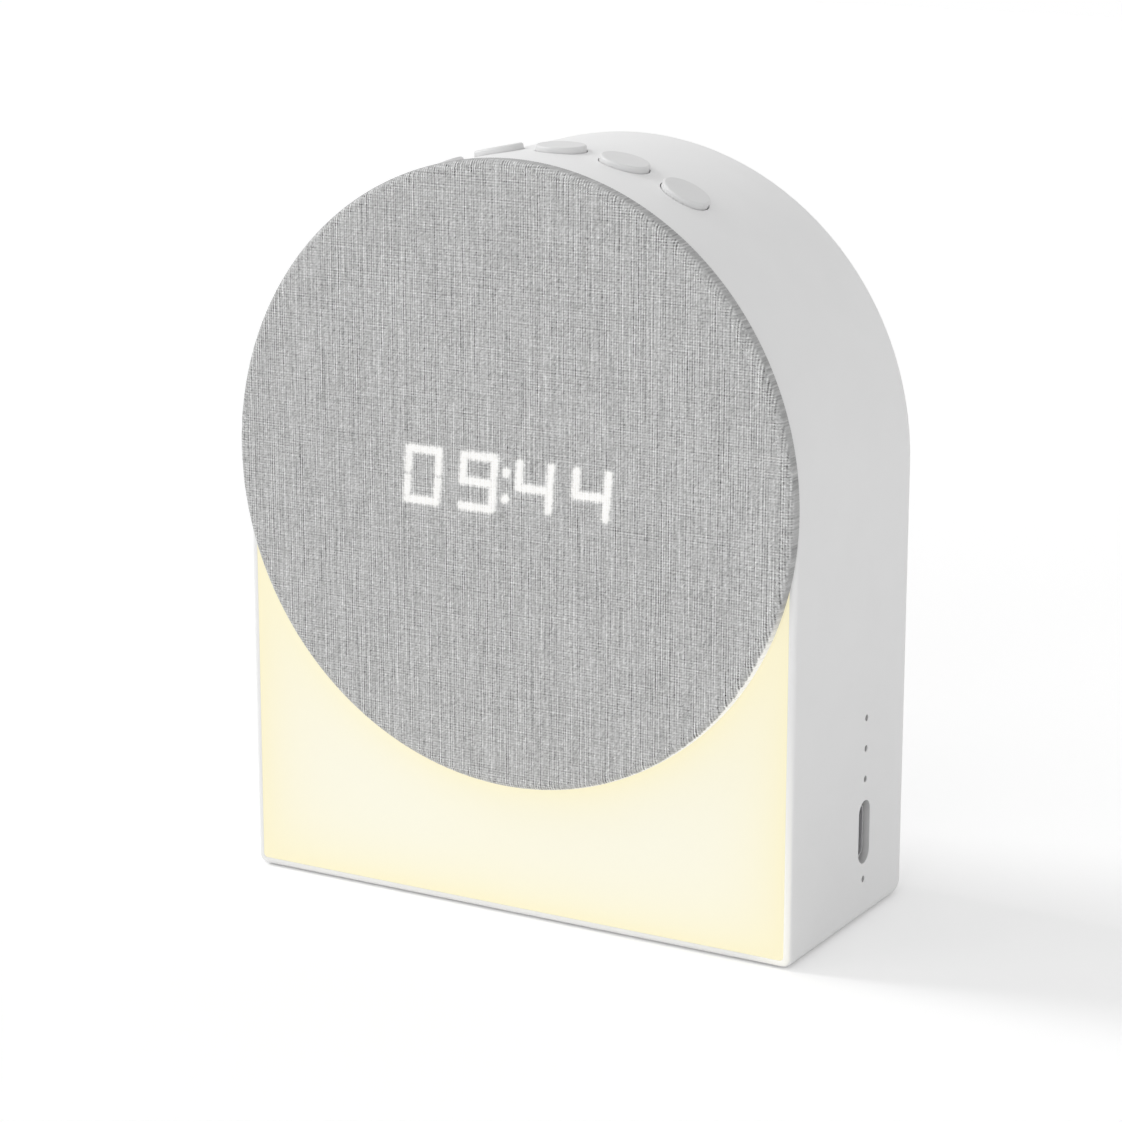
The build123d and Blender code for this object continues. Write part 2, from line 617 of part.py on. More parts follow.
with BuildPart() as grille_plate:
    with Locations(front_spot(0, ARCH_CENTRE_HEIGHT, 0)):
        Cylinder(DISC_RADIUS - CLOTH_THICKNESS, -PLATE_FRONT, align=RISING)
    fillet(grille_plate.edges().group_by(Axis.Y)[0], DISC_EDGE_RADIUS - CLOTH_THICKNESS)
    with BuildSketch(front_spot(0, SPEAKER_Z, 0)):
        Circle(GRILLE_HOLE_DIAMETER / 2)
        for ring in range(1, GRILLE_RINGS + 1):
            with PolarLocations(ring * GRILLE_HOLE_PITCH, 6 * ring):
                Circle(GRILLE_HOLE_DIAMETER / 2)
    extrude(amount=DISC_PROUD, mode=Mode.SUBTRACT)
    with BuildSketch(front_spot(DISPLAY_SHIFT, DISPLAY_Z, 0)):
        Rectangle(DISPLAY_WIDTH + 2 * SEAM, DISPLAY_HEIGHT + 2 * SEAM)
    extrude(amount=DISC_PROUD, mode=Mode.SUBTRACT)
    # Bosses behind the plate for the chassis, the display and the loudspeaker
    for spots, length in (
        (DISC_SCREWS, RIM_DEPTH - LUG_THICKNESS),
        (DISPLAY_SCREWS, REFLECTOR_BACK),
        (SPEAKER_SCREWS, SPEAKER_DEPTH),
    ):
        for x, z in spots:
            with Locations(front_spot(x, z, length)):
                Cylinder(DISC_BOSS_RADIUS, length, align=RISING)
            pilot(back_spot(x, z, length), length)
grille_plate.part.label = "grille_plate"
export_step(grille_plate.part, "parts/grille_plate.step")

with BuildPart() as disc_screws:
    for x, z in DISC_SCREWS:
        screw(back_spot(x, z, RIM_DEPTH))
disc_screws.part.label = "disc_screws"
export_step(disc_screws.part, "parts/disc_screws.step")


# Display: a reflector whose slots carry the light of each bar to the cloth

def display_bars():
    """The place, turn and length of every bar: three level ones and four upright ones a digit."""
    lean = tan(radians(SLANT))
    middle = (DIGIT_HEIGHT - STROKE) / 2
    bars = []
    for digit in range(DIGIT_COUNT):
        centre = DISPLAY_SHIFT + (digit - (DIGIT_COUNT - 1) / 2) * DIGIT_PITCH
        for z in (-middle, 0, middle):
            bars.append((centre + z * lean, DISPLAY_Z + z, 0, DIGIT_WIDTH - STROKE_GAP))
        for side in (-1, 1):
            for z in (-middle / 2, middle / 2):
                x = centre + side * DIGIT_WIDTH / 2 + z * lean
                bars.append((x, DISPLAY_Z + z, 90 - SLANT, middle - STROKE_GAP))
    return bars


def colon_spots():
    """The places of the two dots between the hours and the minutes."""
    lean = tan(radians(SLANT))
    return [(DISPLAY_SHIFT + z * lean, DISPLAY_Z + z) for z in (-COLON_SPREAD, COLON_SPREAD)]


def display_figures():
    """Adds the outlines of all bars and dots to the sketch in use."""
    point = STROKE / 2
    for x, z, turn, length in display_bars():
        half = length / 2
        with Locations(Location((x, z), turn)):
            Polygon(
                (-half, 0), (point - half, -point), (half - point, -point),
                (half, 0), (half - point, point), (point - half, point),
            )
    with Locations(colon_spots()):
        Circle(COLON_RADIUS)


with BuildPart() as display_reflector:
    with Locations(front_spot(DISPLAY_SHIFT, DISPLAY_Z, REFLECTOR_BACK)):
        Box(DISPLAY_WIDTH, DISPLAY_HEIGHT, REFLECTOR_BACK - PLATE_FRONT, align=RISING)
    with BuildSketch(front_plane(REFLECTOR_BACK)):
        display_figures()
    extrude(amount=REFLECTOR_BACK - PLATE_FRONT, mode=Mode.SUBTRACT)
display_reflector.part.label = "display_reflector"
export_step(display_reflector.part, "parts/display_reflector.step")

with BuildPart() as display_segments:
    with BuildSketch(front_plane(PLATE_FRONT + SEGMENT_DEPTH)):
        display_figures()
    extrude(amount=SEGMENT_DEPTH)
display_segments.part.label = "display_segments"
export_step(display_segments.part, "parts/display_segments.step")

with BuildPart() as display_chips:
    for x, z in [bar[:2] for bar in display_bars()] + colon_spots():
        with Locations(front_spot(x, z, REFLECTOR_BACK)):
            Box(CHIP_SIZE, CHIP_SIZE, CHIP_HEIGHT, align=RISING)
display_chips.part.label = "display_chips"
export_step(display_chips.part, "parts/display_chips.step")

with BuildPart() as display_board:
    board_back = REFLECTOR_BACK + DISPLAY_BOARD_THICKNESS
    with Locations(front_spot(DISPLAY_SHIFT, DISPLAY_Z, board_back)):
        Box(DISPLAY_WIDTH + 2 * DISPLAY_EAR, DISPLAY_HEIGHT, DISPLAY_BOARD_THICKNESS, align=RISING)
    for x, z in DISPLAY_SCREWS:
        clearance_hole(back_spot(x, z, board_back), DISPLAY_BOARD_THICKNESS)
display_board.part.label = "display_board"
export_step(display_board.part, "parts/display_board.step")

# Loudspeaker, turned about its own axis. Depths follow from the front of its frame.

LIP_INSIDE = SPEAKER_RADIUS - SPEAKER_LIP
SURROUND_BACK = SPEAKER_DEPTH + SURROUND_THICKNESS
ROLL_OUTSIDE = LIP_INSIDE
ROLL_INSIDE = ROLL_OUTSIDE - 2 * SURROUND_ROLL
CONE_EDGE = ROLL_INSIDE - CONE_LIP
CONE_BACK = SURROUND_BACK + CONE_DEPTH
BASKET_BACK = SPEAKER_DEPTH + BASKET_DEPTH
TOP_PLATE_BACK = BASKET_BACK + TOP_PLATE_THICKNESS
MAGNET_BACK = TOP_PLATE_BACK + MAGNET_THICKNESS
YOKE_BACK = MAGNET_BACK + YOKE_THICKNESS
WINDING_RADIUS = COIL_RADIUS + COIL_WINDING
PLATE_BORE = WINDING_RADIUS + COIL_GAP
POLE_RADIUS = COIL_RADIUS - COIL_FORMER - COIL_GAP
BASKET_NECK = MAGNET_RADIUS - BASKET_WALL
SPIDER_DEPTH = BASKET_BACK - 3 * BASKET_WALL
SPIDER_LEDGE = BASKET_NECK - 2 * BASKET_WALL


def cone_depth(radius):
    """The depth of the cone's front face at this radius."""
    return SURROUND_BACK + CONE_DEPTH * (CONE_EDGE - radius) / (CONE_EDGE - COIL_RADIUS)


with BuildPart() as speaker_gasket:
    with Locations(front_spot(0, SPEAKER_Z, SPEAKER_DEPTH)):
        Cylinder(SPEAKER_RADIUS, SPEAKER_DEPTH, align=RISING)
        Cylinder(SPEAKER_RADIUS - GASKET_WIDTH, SPEAKER_DEPTH, align=RISING, mode=Mode.SUBTRACT)
    # The screw bosses stand beside the gasket and bite a little into its rim
    for x, z in SPEAKER_SCREWS:
        with Locations(front_spot(x, z, SPEAKER_DEPTH)):
            Cylinder(DISC_BOSS_RADIUS + SEAM, SPEAKER_DEPTH, align=RISING, mode=Mode.SUBTRACT)
speaker_gasket.part.label = "speaker_gasket"
export_step(speaker_gasket.part, "parts/speaker_gasket.step")

with BuildPart() as speaker_frame:
    turned(SPEAKER_Z, [
        (LIP_INSIDE, SURROUND_BACK),
        (SPEAKER_RADIUS, SURROUND_BACK),
        (SPEAKER_RADIUS, SURROUND_BACK + SPEAKER_PLATE),
        (LIP_INSIDE + BASKET_WALL, SURROUND_BACK + SPEAKER_PLATE),
        (BASKET_NECK, SPIDER_DEPTH),
        (BASKET_NECK, BASKET_BACK),
        (PLATE_BORE, BASKET_BACK),
        (PLATE_BORE, BASKET_BACK - BASKET_WALL),
        (SPIDER_LEDGE, BASKET_BACK - BASKET_WALL),
        (SPIDER_LEDGE, SPIDER_DEPTH),
        (BASKET_NECK - BASKET_WALL, SPIDER_DEPTH),
        (LIP_INSIDE, SURROUND_BACK + SPEAKER_PLATE),
    ])
    # The ears reach past the lip to the bosses, and the surround's edge lies in between
    for x, z in SPEAKER_SCREWS:
        ear_back = SURROUND_BACK + SPEAKER_PLATE
        with Locations(front_spot(x, z, ear_back)):
            Cylinder(SPEAKER_EAR_RADIUS, ear_back - SPEAKER_DEPTH, align=RISING)
        clearance_hole(back_spot(x, z, ear_back), ear_back - SPEAKER_DEPTH)
    with Locations(front_spot(0, SPEAKER_Z, SURROUND_BACK)):
        Cylinder(SPEAKER_RADIUS + FIT, SURROUND_THICKNESS, align=RISING, mode=Mode.SUBTRACT)
speaker_frame.part.label = "speaker_frame"
export_step(speaker_frame.part, "parts/speaker_frame.step")

with BuildPart() as speaker_surround:
    with BuildSketch(Plane.XY.offset(SPEAKER_Z)) as surround_profile:
        with BuildLine():
            front = RIM_Y + SPEAKER_DEPTH
            back = RIM_Y + SURROUND_BACK
            Polyline(
                (ROLL_OUTSIDE, front), (SPEAKER_RADIUS, front), (SPEAKER_RADIUS, back), (LIP_INSIDE, back),
            )
            roll_middle = (ROLL_OUTSIDE + ROLL_INSIDE) / 2
            inner_roll = SURROUND_ROLL - SURROUND_THICKNESS
            Line((LIP_INSIDE, back), (roll_middle + inner_roll, back))
            ThreePointArc(
                (roll_middle + inner_roll, back),
                (roll_middle, back - inner_roll),
                (roll_middle - inner_roll, back),
            )
            Polyline(
                (roll_middle - inner_roll, back), (CONE_EDGE, back), (CONE_EDGE, front),
                (ROLL_INSIDE, front),
            )
            ThreePointArc(
                (ROLL_INSIDE, front),
                (roll_middle, front - SURROUND_ROLL + SURROUND_THICKNESS),
                (ROLL_OUTSIDE, front),
            )
        make_face()
    revolve(axis=Axis((0, 0, SPEAKER_Z), (0, 1, 0)))
speaker_surround.part.label = "speaker_surround"
export_step(speaker_surround.part, "parts/speaker_surround.step")

with BuildPart() as speaker_cone:
    turned(SPEAKER_Z, [
        (ROLL_INSIDE, SURROUND_BACK),
        (ROLL_INSIDE, SURROUND_BACK + CONE_THICKNESS),
        (CONE_EDGE, SURROUND_BACK + CONE_THICKNESS),
        (COIL_RADIUS, CONE_BACK + CONE_THICKNESS),
        (COIL_RADIUS, CONE_BACK),
        (CONE_EDGE, SURROUND_BACK),
    ])
speaker_cone.part.label = "speaker_cone"
export_step(speaker_cone.part, "parts/speaker_cone.step")

with BuildPart() as speaker_dust_cap:
    with BuildSketch(Plane.XY.offset(SPEAKER_Z)):
        with BuildLine():
            rim = RIM_Y + cone_depth(DUST_CAP_RADIUS)
            inner = DUST_CAP_RADIUS - CONE_THICKNESS
            crown = rim - DUST_CAP_RISE
            RadiusArc(
                (DUST_CAP_RADIUS, rim), (0, crown),
                (DUST_CAP_RADIUS ** 2 + DUST_CAP_RISE ** 2) / (2 * DUST_CAP_RISE),
            )
            Line((0, crown), (0, crown + CONE_THICKNESS))
            inner_rise = DUST_CAP_RISE - CONE_THICKNESS
            RadiusArc(
                (inner, rim), (0, crown + CONE_THICKNESS),
                (inner ** 2 + inner_rise ** 2) / (2 * inner_rise),
            )
            Line((inner, rim), (DUST_CAP_RADIUS, rim))
        make_face()
    revolve(axis=Axis((0, 0, SPEAKER_Z), (0, 1, 0)))
speaker_dust_cap.part.label = "speaker_dust_cap"
export_step(speaker_dust_cap.part, "parts/speaker_dust_cap.step")

with BuildPart() as voice_coil:
    former = COIL_RADIUS - COIL_FORMER
    former_front = CONE_BACK - CONE_THICKNESS
    turned(SPEAKER_Z, [
        (former, former_front),
        (COIL_RADIUS, former_front),
        (COIL_RADIUS, BASKET_BACK),
        (WINDING_RADIUS, BASKET_BACK),
        (WINDING_RADIUS, TOP_PLATE_BACK),
        (former, TOP_PLATE_BACK),
    ])
voice_coil.part.label = "voice_coil"
export_step(voice_coil.part, "parts/voice_coil.step")

with BuildPart() as speaker_spider:
    step = (SPIDER_LEDGE - COIL_RADIUS) / (2 * SPIDER_WAVES)
    waves = [
        (COIL_RADIUS + step * number, SPIDER_DEPTH - SPIDER_THICKNESS - (number % 2) * SPIDER_WAVE)
        for number in range(2 * SPIDER_WAVES + 1)
    ]
    lip = (BASKET_NECK - BASKET_WALL - FIT, SPIDER_DEPTH - SPIDER_THICKNESS)
    under = [(radius, depth + SPIDER_THICKNESS) for radius, depth in reversed(waves)]
    turned(SPEAKER_Z, waves + [lip, (lip[0], SPIDER_DEPTH)] + under)
speaker_spider.part.label = "speaker_spider"
export_step(speaker_spider.part, "parts/speaker_spider.step")

with BuildPart() as speaker_top_plate:
    with Locations(back_spot(0, SPEAKER_Z, BASKET_BACK)):
        Cylinder(BASKET_NECK, TOP_PLATE_THICKNESS, align=RISING)
        Cylinder(PLATE_BORE, TOP_PLATE_THICKNESS, align=RISING, mode=Mode.SUBTRACT)
speaker_top_plate.part.label = "speaker_top_plate"
export_step(speaker_top_plate.part, "parts/speaker_top_plate.step")

with BuildPart() as speaker_magnet:
    with Locations(back_spot(0, SPEAKER_Z, TOP_PLATE_BACK)):
        Cylinder(MAGNET_RADIUS, MAGNET_THICKNESS, align=RISING)
        Cylinder(PLATE_BORE + 2 * COIL_GAP, MAGNET_THICKNESS, align=RISING, mode=Mode.SUBTRACT)
speaker_magnet.part.label = "speaker_magnet"
export_step(speaker_magnet.part, "parts/speaker_magnet.step")

with BuildPart() as speaker_yoke:
    with Locations(back_spot(0, SPEAKER_Z, MAGNET_BACK)):
        Cylinder(BASKET_NECK, YOKE_THICKNESS, align=RISING)
        Cylinder(POLE_RADIUS, MAGNET_BACK - BASKET_BACK, align=SINKING)
speaker_yoke.part.label = "speaker_yoke"
export_step(speaker_yoke.part, "parts/speaker_yoke.step")

# The screws that hold the display and the loudspeaker to the disc's plate

with BuildPart() as plate_screws:
    for x, z in DISPLAY_SCREWS:
        screw(back_spot(x, z, board_back), DISPLAY_BOARD_THICKNESS + REFLECTOR_BACK)
    for x, z in SPEAKER_SCREWS:
        plate = SURROUND_THICKNESS + SPEAKER_PLATE
        screw(back_spot(x, z, SPEAKER_DEPTH + plate), plate + SPEAKER_DEPTH)
plate_screws.part.label = "plate_screws"
export_step(plate_screws.part, "parts/plate_screws.step")


# Main board on the chassis's posts, and what is soldered to it

with BuildPart() as main_board:
    with BuildSketch(front_plane(BOARD_BACK)):
        with Locations((BOARD_LEFT, BOARD_BOTTOM)):
            Rectangle(
                BOARD_RIGHT - BOARD_LEFT, BOARD_STRIP_TOP - BOARD_BOTTOM,
                align=(Align.MIN, Align.MIN),
            )
        with Locations((BOARD_TOWER_LEFT, BOARD_BOTTOM)):
            Rectangle(
                BOARD_RIGHT - BOARD_TOWER_LEFT, BOARD_TOP - BOARD_BOTTOM,
                align=(Align.MIN, Align.MIN),
            )
        with Locations(POST_SPOTS):
            Circle(SCREW_RADIUS + SCREW_GAP, mode=Mode.SUBTRACT)
    extrude(amount=BOARD_THICKNESS)
main_board.part.label = "main_board"
export_step(main_board.part, "parts/main_board.step")

with BuildPart() as main_board_screws:
    for x, z in POST_SPOTS:
        screw(back_spot(x, z, BOARD_BACK), BOARD_THICKNESS + SCREW_LENGTH - SCREW_GAP)
main_board_screws.part.label = "main_board_screws"
export_step(main_board_screws.part, "parts/main_board_screws.step")

USB_MOUTH = ARCH_RADIUS - USB_RECESS
USB_BACK = USB_MOUTH - USB_SHELL_LENGTH

with BuildPart() as usb_socket_shell:
    with BuildSketch(side_spot(USB_BACK, USB_HEIGHT, PORT_DEPTH)):
        SlotOverall(USB_SHELL_WIDTH, USB_SHELL_THICKNESS, rotation=90)
    extrude(amount=USB_SHELL_LENGTH)
    with BuildSketch(side_spot(USB_BACK + USB_SHELL_WALL, USB_HEIGHT, PORT_DEPTH)):
        SlotOverall(
            USB_SHELL_WIDTH - 2 * USB_SHELL_WALL, USB_SHELL_THICKNESS - 2 * USB_SHELL_WALL,
            rotation=90,
        )
    extrude(amount=USB_SHELL_LENGTH, mode=Mode.SUBTRACT)
usb_socket_shell.part.label = "usb_socket_shell"
export_step(usb_socket_shell.part, "parts/usb_socket_shell.step")

with BuildPart() as usb_socket_tongue:
    with BuildSketch(side_spot(USB_BACK + USB_SHELL_WALL, USB_HEIGHT, PORT_DEPTH)):
        SlotOverall(
            USB_SHELL_WIDTH - 2 * USB_SHELL_WALL, USB_SHELL_THICKNESS - 2 * USB_SHELL_WALL,
            rotation=90,
        )
    extrude(amount=USB_BLOCK_LENGTH)
    with Locations(side_spot(USB_BACK + USB_SHELL_WALL, USB_HEIGHT, PORT_DEPTH)):
        Box(
            USB_TONGUE_THICKNESS, USB_TONGUE_WIDTH,
            USB_SHELL_LENGTH - USB_SHELL_WALL - USB_TONGUE_SETBACK,
            align=RISING,
        )
usb_socket_tongue.part.label = "usb_socket_tongue"
export_step(usb_socket_tongue.part, "parts/usb_socket_tongue.step")

with BuildPart() as status_leds:
    with Locations([
        front_spot(WALL_INSIDE - LIGHT_PIPE_BAR - STATUS_LED_SIZE / 2 - FIT, height, BOARD_FRONT)
        for height in STATUS_HEIGHTS
    ]):
        Box(STATUS_LED_SIZE, STATUS_LED_SIZE, BOARD_FRONT - PORT_DEPTH + STATUS_LED_SIZE / 2, align=RISING)
status_leds.part.label = "status_leds"
export_step(status_leds.part, "parts/status_leds.step")

with BuildPart() as status_light_pipe:
    bar_length = (STATUS_COUNT - 1) * STATUS_PITCH + LIGHT_PIPE_BAR_WIDTH
    bar_middle = (STATUS_HEIGHTS[0] + STATUS_HEIGHTS[-1]) / 2
    with Locations(side_spot(WALL_INSIDE, bar_middle, PORT_DEPTH)):
        Box(LIGHT_PIPE_BAR_WIDTH, bar_length, LIGHT_PIPE_BAR, align=SINKING)
    with Locations([side_spot(WALL_INSIDE, height, PORT_DEPTH) for height in STATUS_HEIGHTS]):
        Cylinder(LIGHT_PIPE_DIAMETER / 2, WALL - LIGHT_PIPE_SETBACK, align=RISING)
status_light_pipe.part.label = "status_light_pipe"
export_step(status_light_pipe.part, "parts/status_light_pipe.step")

RESET_FACE = WALL_INSIDE - RESET_WALL_GAP - RESET_PLUNGER_RISE
RESET_ENTRY = RESET_FACE - PLUNGER_ENTRY

with BuildPart() as reset_switch:
    with Locations(side_spot(RESET_FACE, RESET_HEIGHT, PORT_DEPTH)):
        Box(USB_SHELL_THICKNESS, RESET_SIZE, RESET_BODY_LENGTH, align=SINKING)
        Cylinder(
            RESET_PLUNGER_DIAMETER / 2 + PLUNGER_GAP, PLUNGER_ENTRY + RESET_TRAVEL + PLUNGER_GAP,
            align=SINKING, mode=Mode.SUBTRACT,
        )
reset_switch.part.label = "reset_switch"
export_step(reset_switch.part, "parts/reset_switch.step")

with BuildPart() as reset_plunger:
    with Locations(side_spot(RESET_ENTRY, RESET_HEIGHT, PORT_DEPTH)):
        Cylinder(RESET_PLUNGER_DIAMETER / 2, PLUNGER_ENTRY + RESET_PLUNGER_RISE, align=RISING)
reset_plunger.part.label = "reset_plunger"
export_step(reset_plunger.part, "parts/reset_plunger.step")

# Each chip's distance from the board's right end and its Z, then its width, height and thickness
CHIPS = ((50.5, 13.0, 9.0, 9.0, 1.0), (34.5, 13.0, 5.0, 5.0, 1.0), (10.5, 36.0, 6.0, 5.0, 1.2))
# Each socket's X and Z on the board, then its length up the board
SOCKETS = (
    (BATTERY_SOCKET_X, LOW_SOCKET_Z, SOCKET_WIDTH),
    (LIGHT_SOCKET_X, LOW_SOCKET_Z, SOCKET_WIDTH),
    (TOWER_SOCKET_X, BUTTON_SOCKET_Z, SOCKET_LENGTH),
    (TOWER_SOCKET_X, DISPLAY_SOCKET_Z, SOCKET_LENGTH),
    (TOWER_SOCKET_X, SPEAKER_SOCKET_Z, SOCKET_LENGTH),
)
# Each capacitor's distance from the board's right end and its Z, and the wireless module's
CAPACITORS = ((26.5, 9.5), (19.5, 14.5), (13.0, 27.5))
CAPACITOR_RADIUS = 2.6
CAPACITOR_HEIGHT = 6.0
MODULE_SPOT = (11.5, 49.0)
MODULE_BOARD = (12.0, 14.0, 0.8)
MODULE_CAN = (10.0, 9.0, 2.0)

with BuildPart() as processor_chips:
    for inset, z, width, height, thickness in CHIPS:
        with Locations(back_spot(BOARD_RIGHT - inset, z, BOARD_BACK)):
            Box(width, height, thickness, align=RISING)
processor_chips.part.label = "processor_chips"
export_step(processor_chips.part, "parts/processor_chips.step")

with BuildPart() as board_connectors:
    for x, z, length in SOCKETS:
        with Locations(back_spot(x, z, BOARD_BACK)):
            Box(SOCKET_WIDTH, length, SOCKET_HEIGHT, align=RISING)
        with Locations(back_spot(x, z, BOARD_BACK + SOCKET_HEIGHT)):
            Box(SOCKET_WIDTH * 2 / 3, length / 2, SOCKET_HEIGHT / 2, align=SINKING, mode=Mode.SUBTRACT)
board_connectors.part.label = "board_connectors"
export_step(board_connectors.part, "parts/board_connectors.step")

with BuildPart() as board_capacitors:
    for inset, z in CAPACITORS:
        with Locations(front_spot(BOARD_RIGHT - inset, z, BOARD_FRONT)):
            Cylinder(CAPACITOR_RADIUS, CAPACITOR_HEIGHT, align=RISING)
board_capacitors.part.label = "board_capacitors"
export_step(board_capacitors.part, "parts/board_capacitors.step")

with BuildPart() as wireless_module:
    module = back_spot(BOARD_RIGHT - MODULE_SPOT[0], MODULE_SPOT[1], BOARD_BACK)
    with Locations(module):
        Box(*MODULE_BOARD, align=RISING)
    with Locations(module.offset(MODULE_BOARD[2])):
        Box(*MODULE_CAN, align=RISING)
wireless_module.part.label = "wireless_module"
export_step(wireless_module.part, "parts/wireless_module.step")


# Battery on the rear cover

with BuildPart() as battery_foam:
    with Locations(front_spot(BATTERY_X, BATTERY_Z, COVER_INSIDE)):
        Box(
            BATTERY_WIDTH - 2 * FOAM_MARGIN, BATTERY_HEIGHT - 2 * FOAM_MARGIN, FOAM_THICKNESS,
            align=RISING,
        )
battery_foam.part.label = "battery_foam"
export_step(battery_foam.part, "parts/battery_foam.step")

with BuildPart() as battery_cell:
    with Locations(front_spot(BATTERY_X, BATTERY_Z, COVER_INSIDE - FOAM_THICKNESS)):
        Box(BATTERY_WIDTH, BATTERY_HEIGHT, BATTERY_THICKNESS, align=RISING)
    fillet(battery_cell.edges().filter_by(Axis.Z), BATTERY_EDGE_RADIUS)
battery_cell.part.label = "battery_cell"
export_step(battery_cell.part, "parts/battery_cell.step")


# Buttons, their switches and the arched bracket below them

LIP_RADIUS = BUTTON_DIAMETER / 2 + BUTTON_LIP
LIP_TOP = sqrt(WALL_INSIDE ** 2 - LIP_RADIUS ** 2) - FIT
LIP_BOTTOM = LIP_TOP - BUTTON_LIP_THICKNESS
STEM_BOTTOM = LIP_BOTTOM - STEM_LENGTH
TACT_TOP = STEM_BOTTOM - PLUNGER_RISE
TACT_BOTTOM = TACT_TOP - TACT_HEIGHT
BRACKET_TOP = TACT_BOTTOM - BUTTON_BOARD_THICKNESS
BRACKET_BOTTOM = BRACKET_TOP - BRACKET_THICKNESS
CAP_LENGTH = ARCH_RADIUS + BUTTON_PROUD - LIP_TOP
BOARD_ANGLE = BUTTON_ANGLES[-1] + degrees(asin(TACT_SIZE / BRACKET_TOP))

for number, angle in enumerate(BUTTON_ANGLES, start=1):
    with BuildPart() as top_button:
        with Locations(radial_spot(angle, LIP_TOP, BUTTON_DEPTH)):
            Cylinder(BUTTON_DIAMETER / 2, CAP_LENGTH, align=RISING)
            Cylinder(LIP_RADIUS, BUTTON_LIP_THICKNESS, align=SINKING)
        with Locations(radial_spot(angle, LIP_BOTTOM, BUTTON_DEPTH)):
            Cylinder(STEM_DIAMETER / 2, STEM_LENGTH, align=SINKING)
        outwards = Axis((0, 0, ARCH_CENTRE_HEIGHT), (sin(radians(angle)), 0, cos(radians(angle))))
        fillet(top_button.edges().sort_by(outwards)[-1], BUTTON_EDGE_RADIUS)
    top_button.part.label = f"top_button_{number}"
    export_step(top_button.part, f"parts/top_button_{number}.step")

    with BuildPart() as switch_plunger:
        with Locations(radial_spot(angle, STEM_BOTTOM, BUTTON_DEPTH)):
            Cylinder(PLUNGER_DIAMETER / 2, PLUNGER_RISE + PLUNGER_ENTRY, align=SINKING)
    switch_plunger.part.label = f"switch_plunger_{number}"
    export_step(switch_plunger.part, f"parts/switch_plunger_{number}.step")

with BuildPart() as tact_switches:
    for angle in BUTTON_ANGLES:
        with Locations(radial_spot(angle, TACT_TOP, BUTTON_DEPTH)):
            Box(TACT_SIZE, TACT_SIZE, TACT_HEIGHT, align=SINKING)
            Cylinder(
                PLUNGER_DIAMETER / 2 + PLUNGER_GAP, PLUNGER_ENTRY + BUTTON_TRAVEL + PLUNGER_GAP,
                align=SINKING, mode=Mode.SUBTRACT,
            )
tact_switches.part.label = "tact_switches"
export_step(tact_switches.part, "parts/tact_switches.step")


def arched_strip(inner, outer, half_angle, back, width):
    """Adds a strip bent round the arch's centre, this far to each side of the top."""
    with BuildSketch(front_spot(0, ARCH_CENTRE_HEIGHT, back)) as strip:
        with BuildLine():
            left = 90 + half_angle
            top_arc = CenterArc((0, 0), outer, left, -2 * half_angle)
            bottom_arc = CenterArc((0, 0), inner, left, -2 * half_angle)
            Line(top_arc @ 0, bottom_arc @ 0)
            Line(top_arc @ 1, bottom_arc @ 1)
        make_face()
    extrude(strip.sketch, amount=width)


with BuildPart() as button_board:
    arched_strip(BRACKET_TOP, TACT_BOTTOM, BOARD_ANGLE, BRACKET_BACK, BRACKET_WIDTH)
button_board.part.label = "button_board"
export_step(button_board.part, "parts/button_board.step")

with BuildPart() as button_bracket:
    arched_strip(BRACKET_BOTTOM, BRACKET_TOP, BRACKET_ANGLE, BRACKET_BACK, BRACKET_WIDTH)
    for x, z in BRACKET_SCREWS:
        tab = back_spot(x, z, BRACKET_FRONT)
        with Locations(tab):
            Cylinder(BRACKET_TAB_RADIUS, BRACKET_TAB_THICKNESS, align=RISING)
        with Locations(tab.offset(BRACKET_TAB_THICKNESS)):
            Cylinder(
                SCREW_HEAD_RADIUS + SCREW_GAP, BRACKET_WIDTH, align=RISING, mode=Mode.SUBTRACT
            )
        clearance_hole(tab.offset(BRACKET_TAB_THICKNESS), BRACKET_TAB_THICKNESS)
button_bracket.part.label = "button_bracket"
export_step(button_bracket.part, "parts/button_bracket.step")

with BuildPart() as bracket_screws:
    for x, z in BRACKET_SCREWS:
        screw(back_spot(x, z, BRACKET_FRONT + BRACKET_TAB_THICKNESS))
bracket_screws.part.label = "bracket_screws"
export_step(bracket_screws.part, "parts/bracket_screws.step")


# Pairs of wires. Each path is a list of X, Z and depth.

def wire(path):
    """Adds a round wire along straight runs joined by tangent arcs."""
    points = [Vector(x, RIM_Y + depth, z) for x, z, depth in path]
    rounds = []
    for before, corner, after in zip(points, points[1:], points[2:]):
        shorter = min((corner - before).length, (after - corner).length)
        turn = (corner - before).get_angle(after - corner)
        rounds.append(WIRE_ROUND_SHARE * shorter / tan(radians(turn / 2)))
    with BuildLine() as route:
        if len(rounds) > 1:
            FilletPolyline(*points, radius=rounds)
        else:
            FilletPolyline(*points, radius=rounds[0])
    with BuildSketch(Plane(points[0], z_dir=points[1] - points[0])) as section:
        Circle(WIRE_DIAMETER / 2)
    sweep(section.sketch, path=route.wire())


SOCKET_DEPTH = BOARD_BACK + SOCKET_HEIGHT / 2
PAIR = (-WIRE_SPACING / 2, WIRE_SPACING / 2)

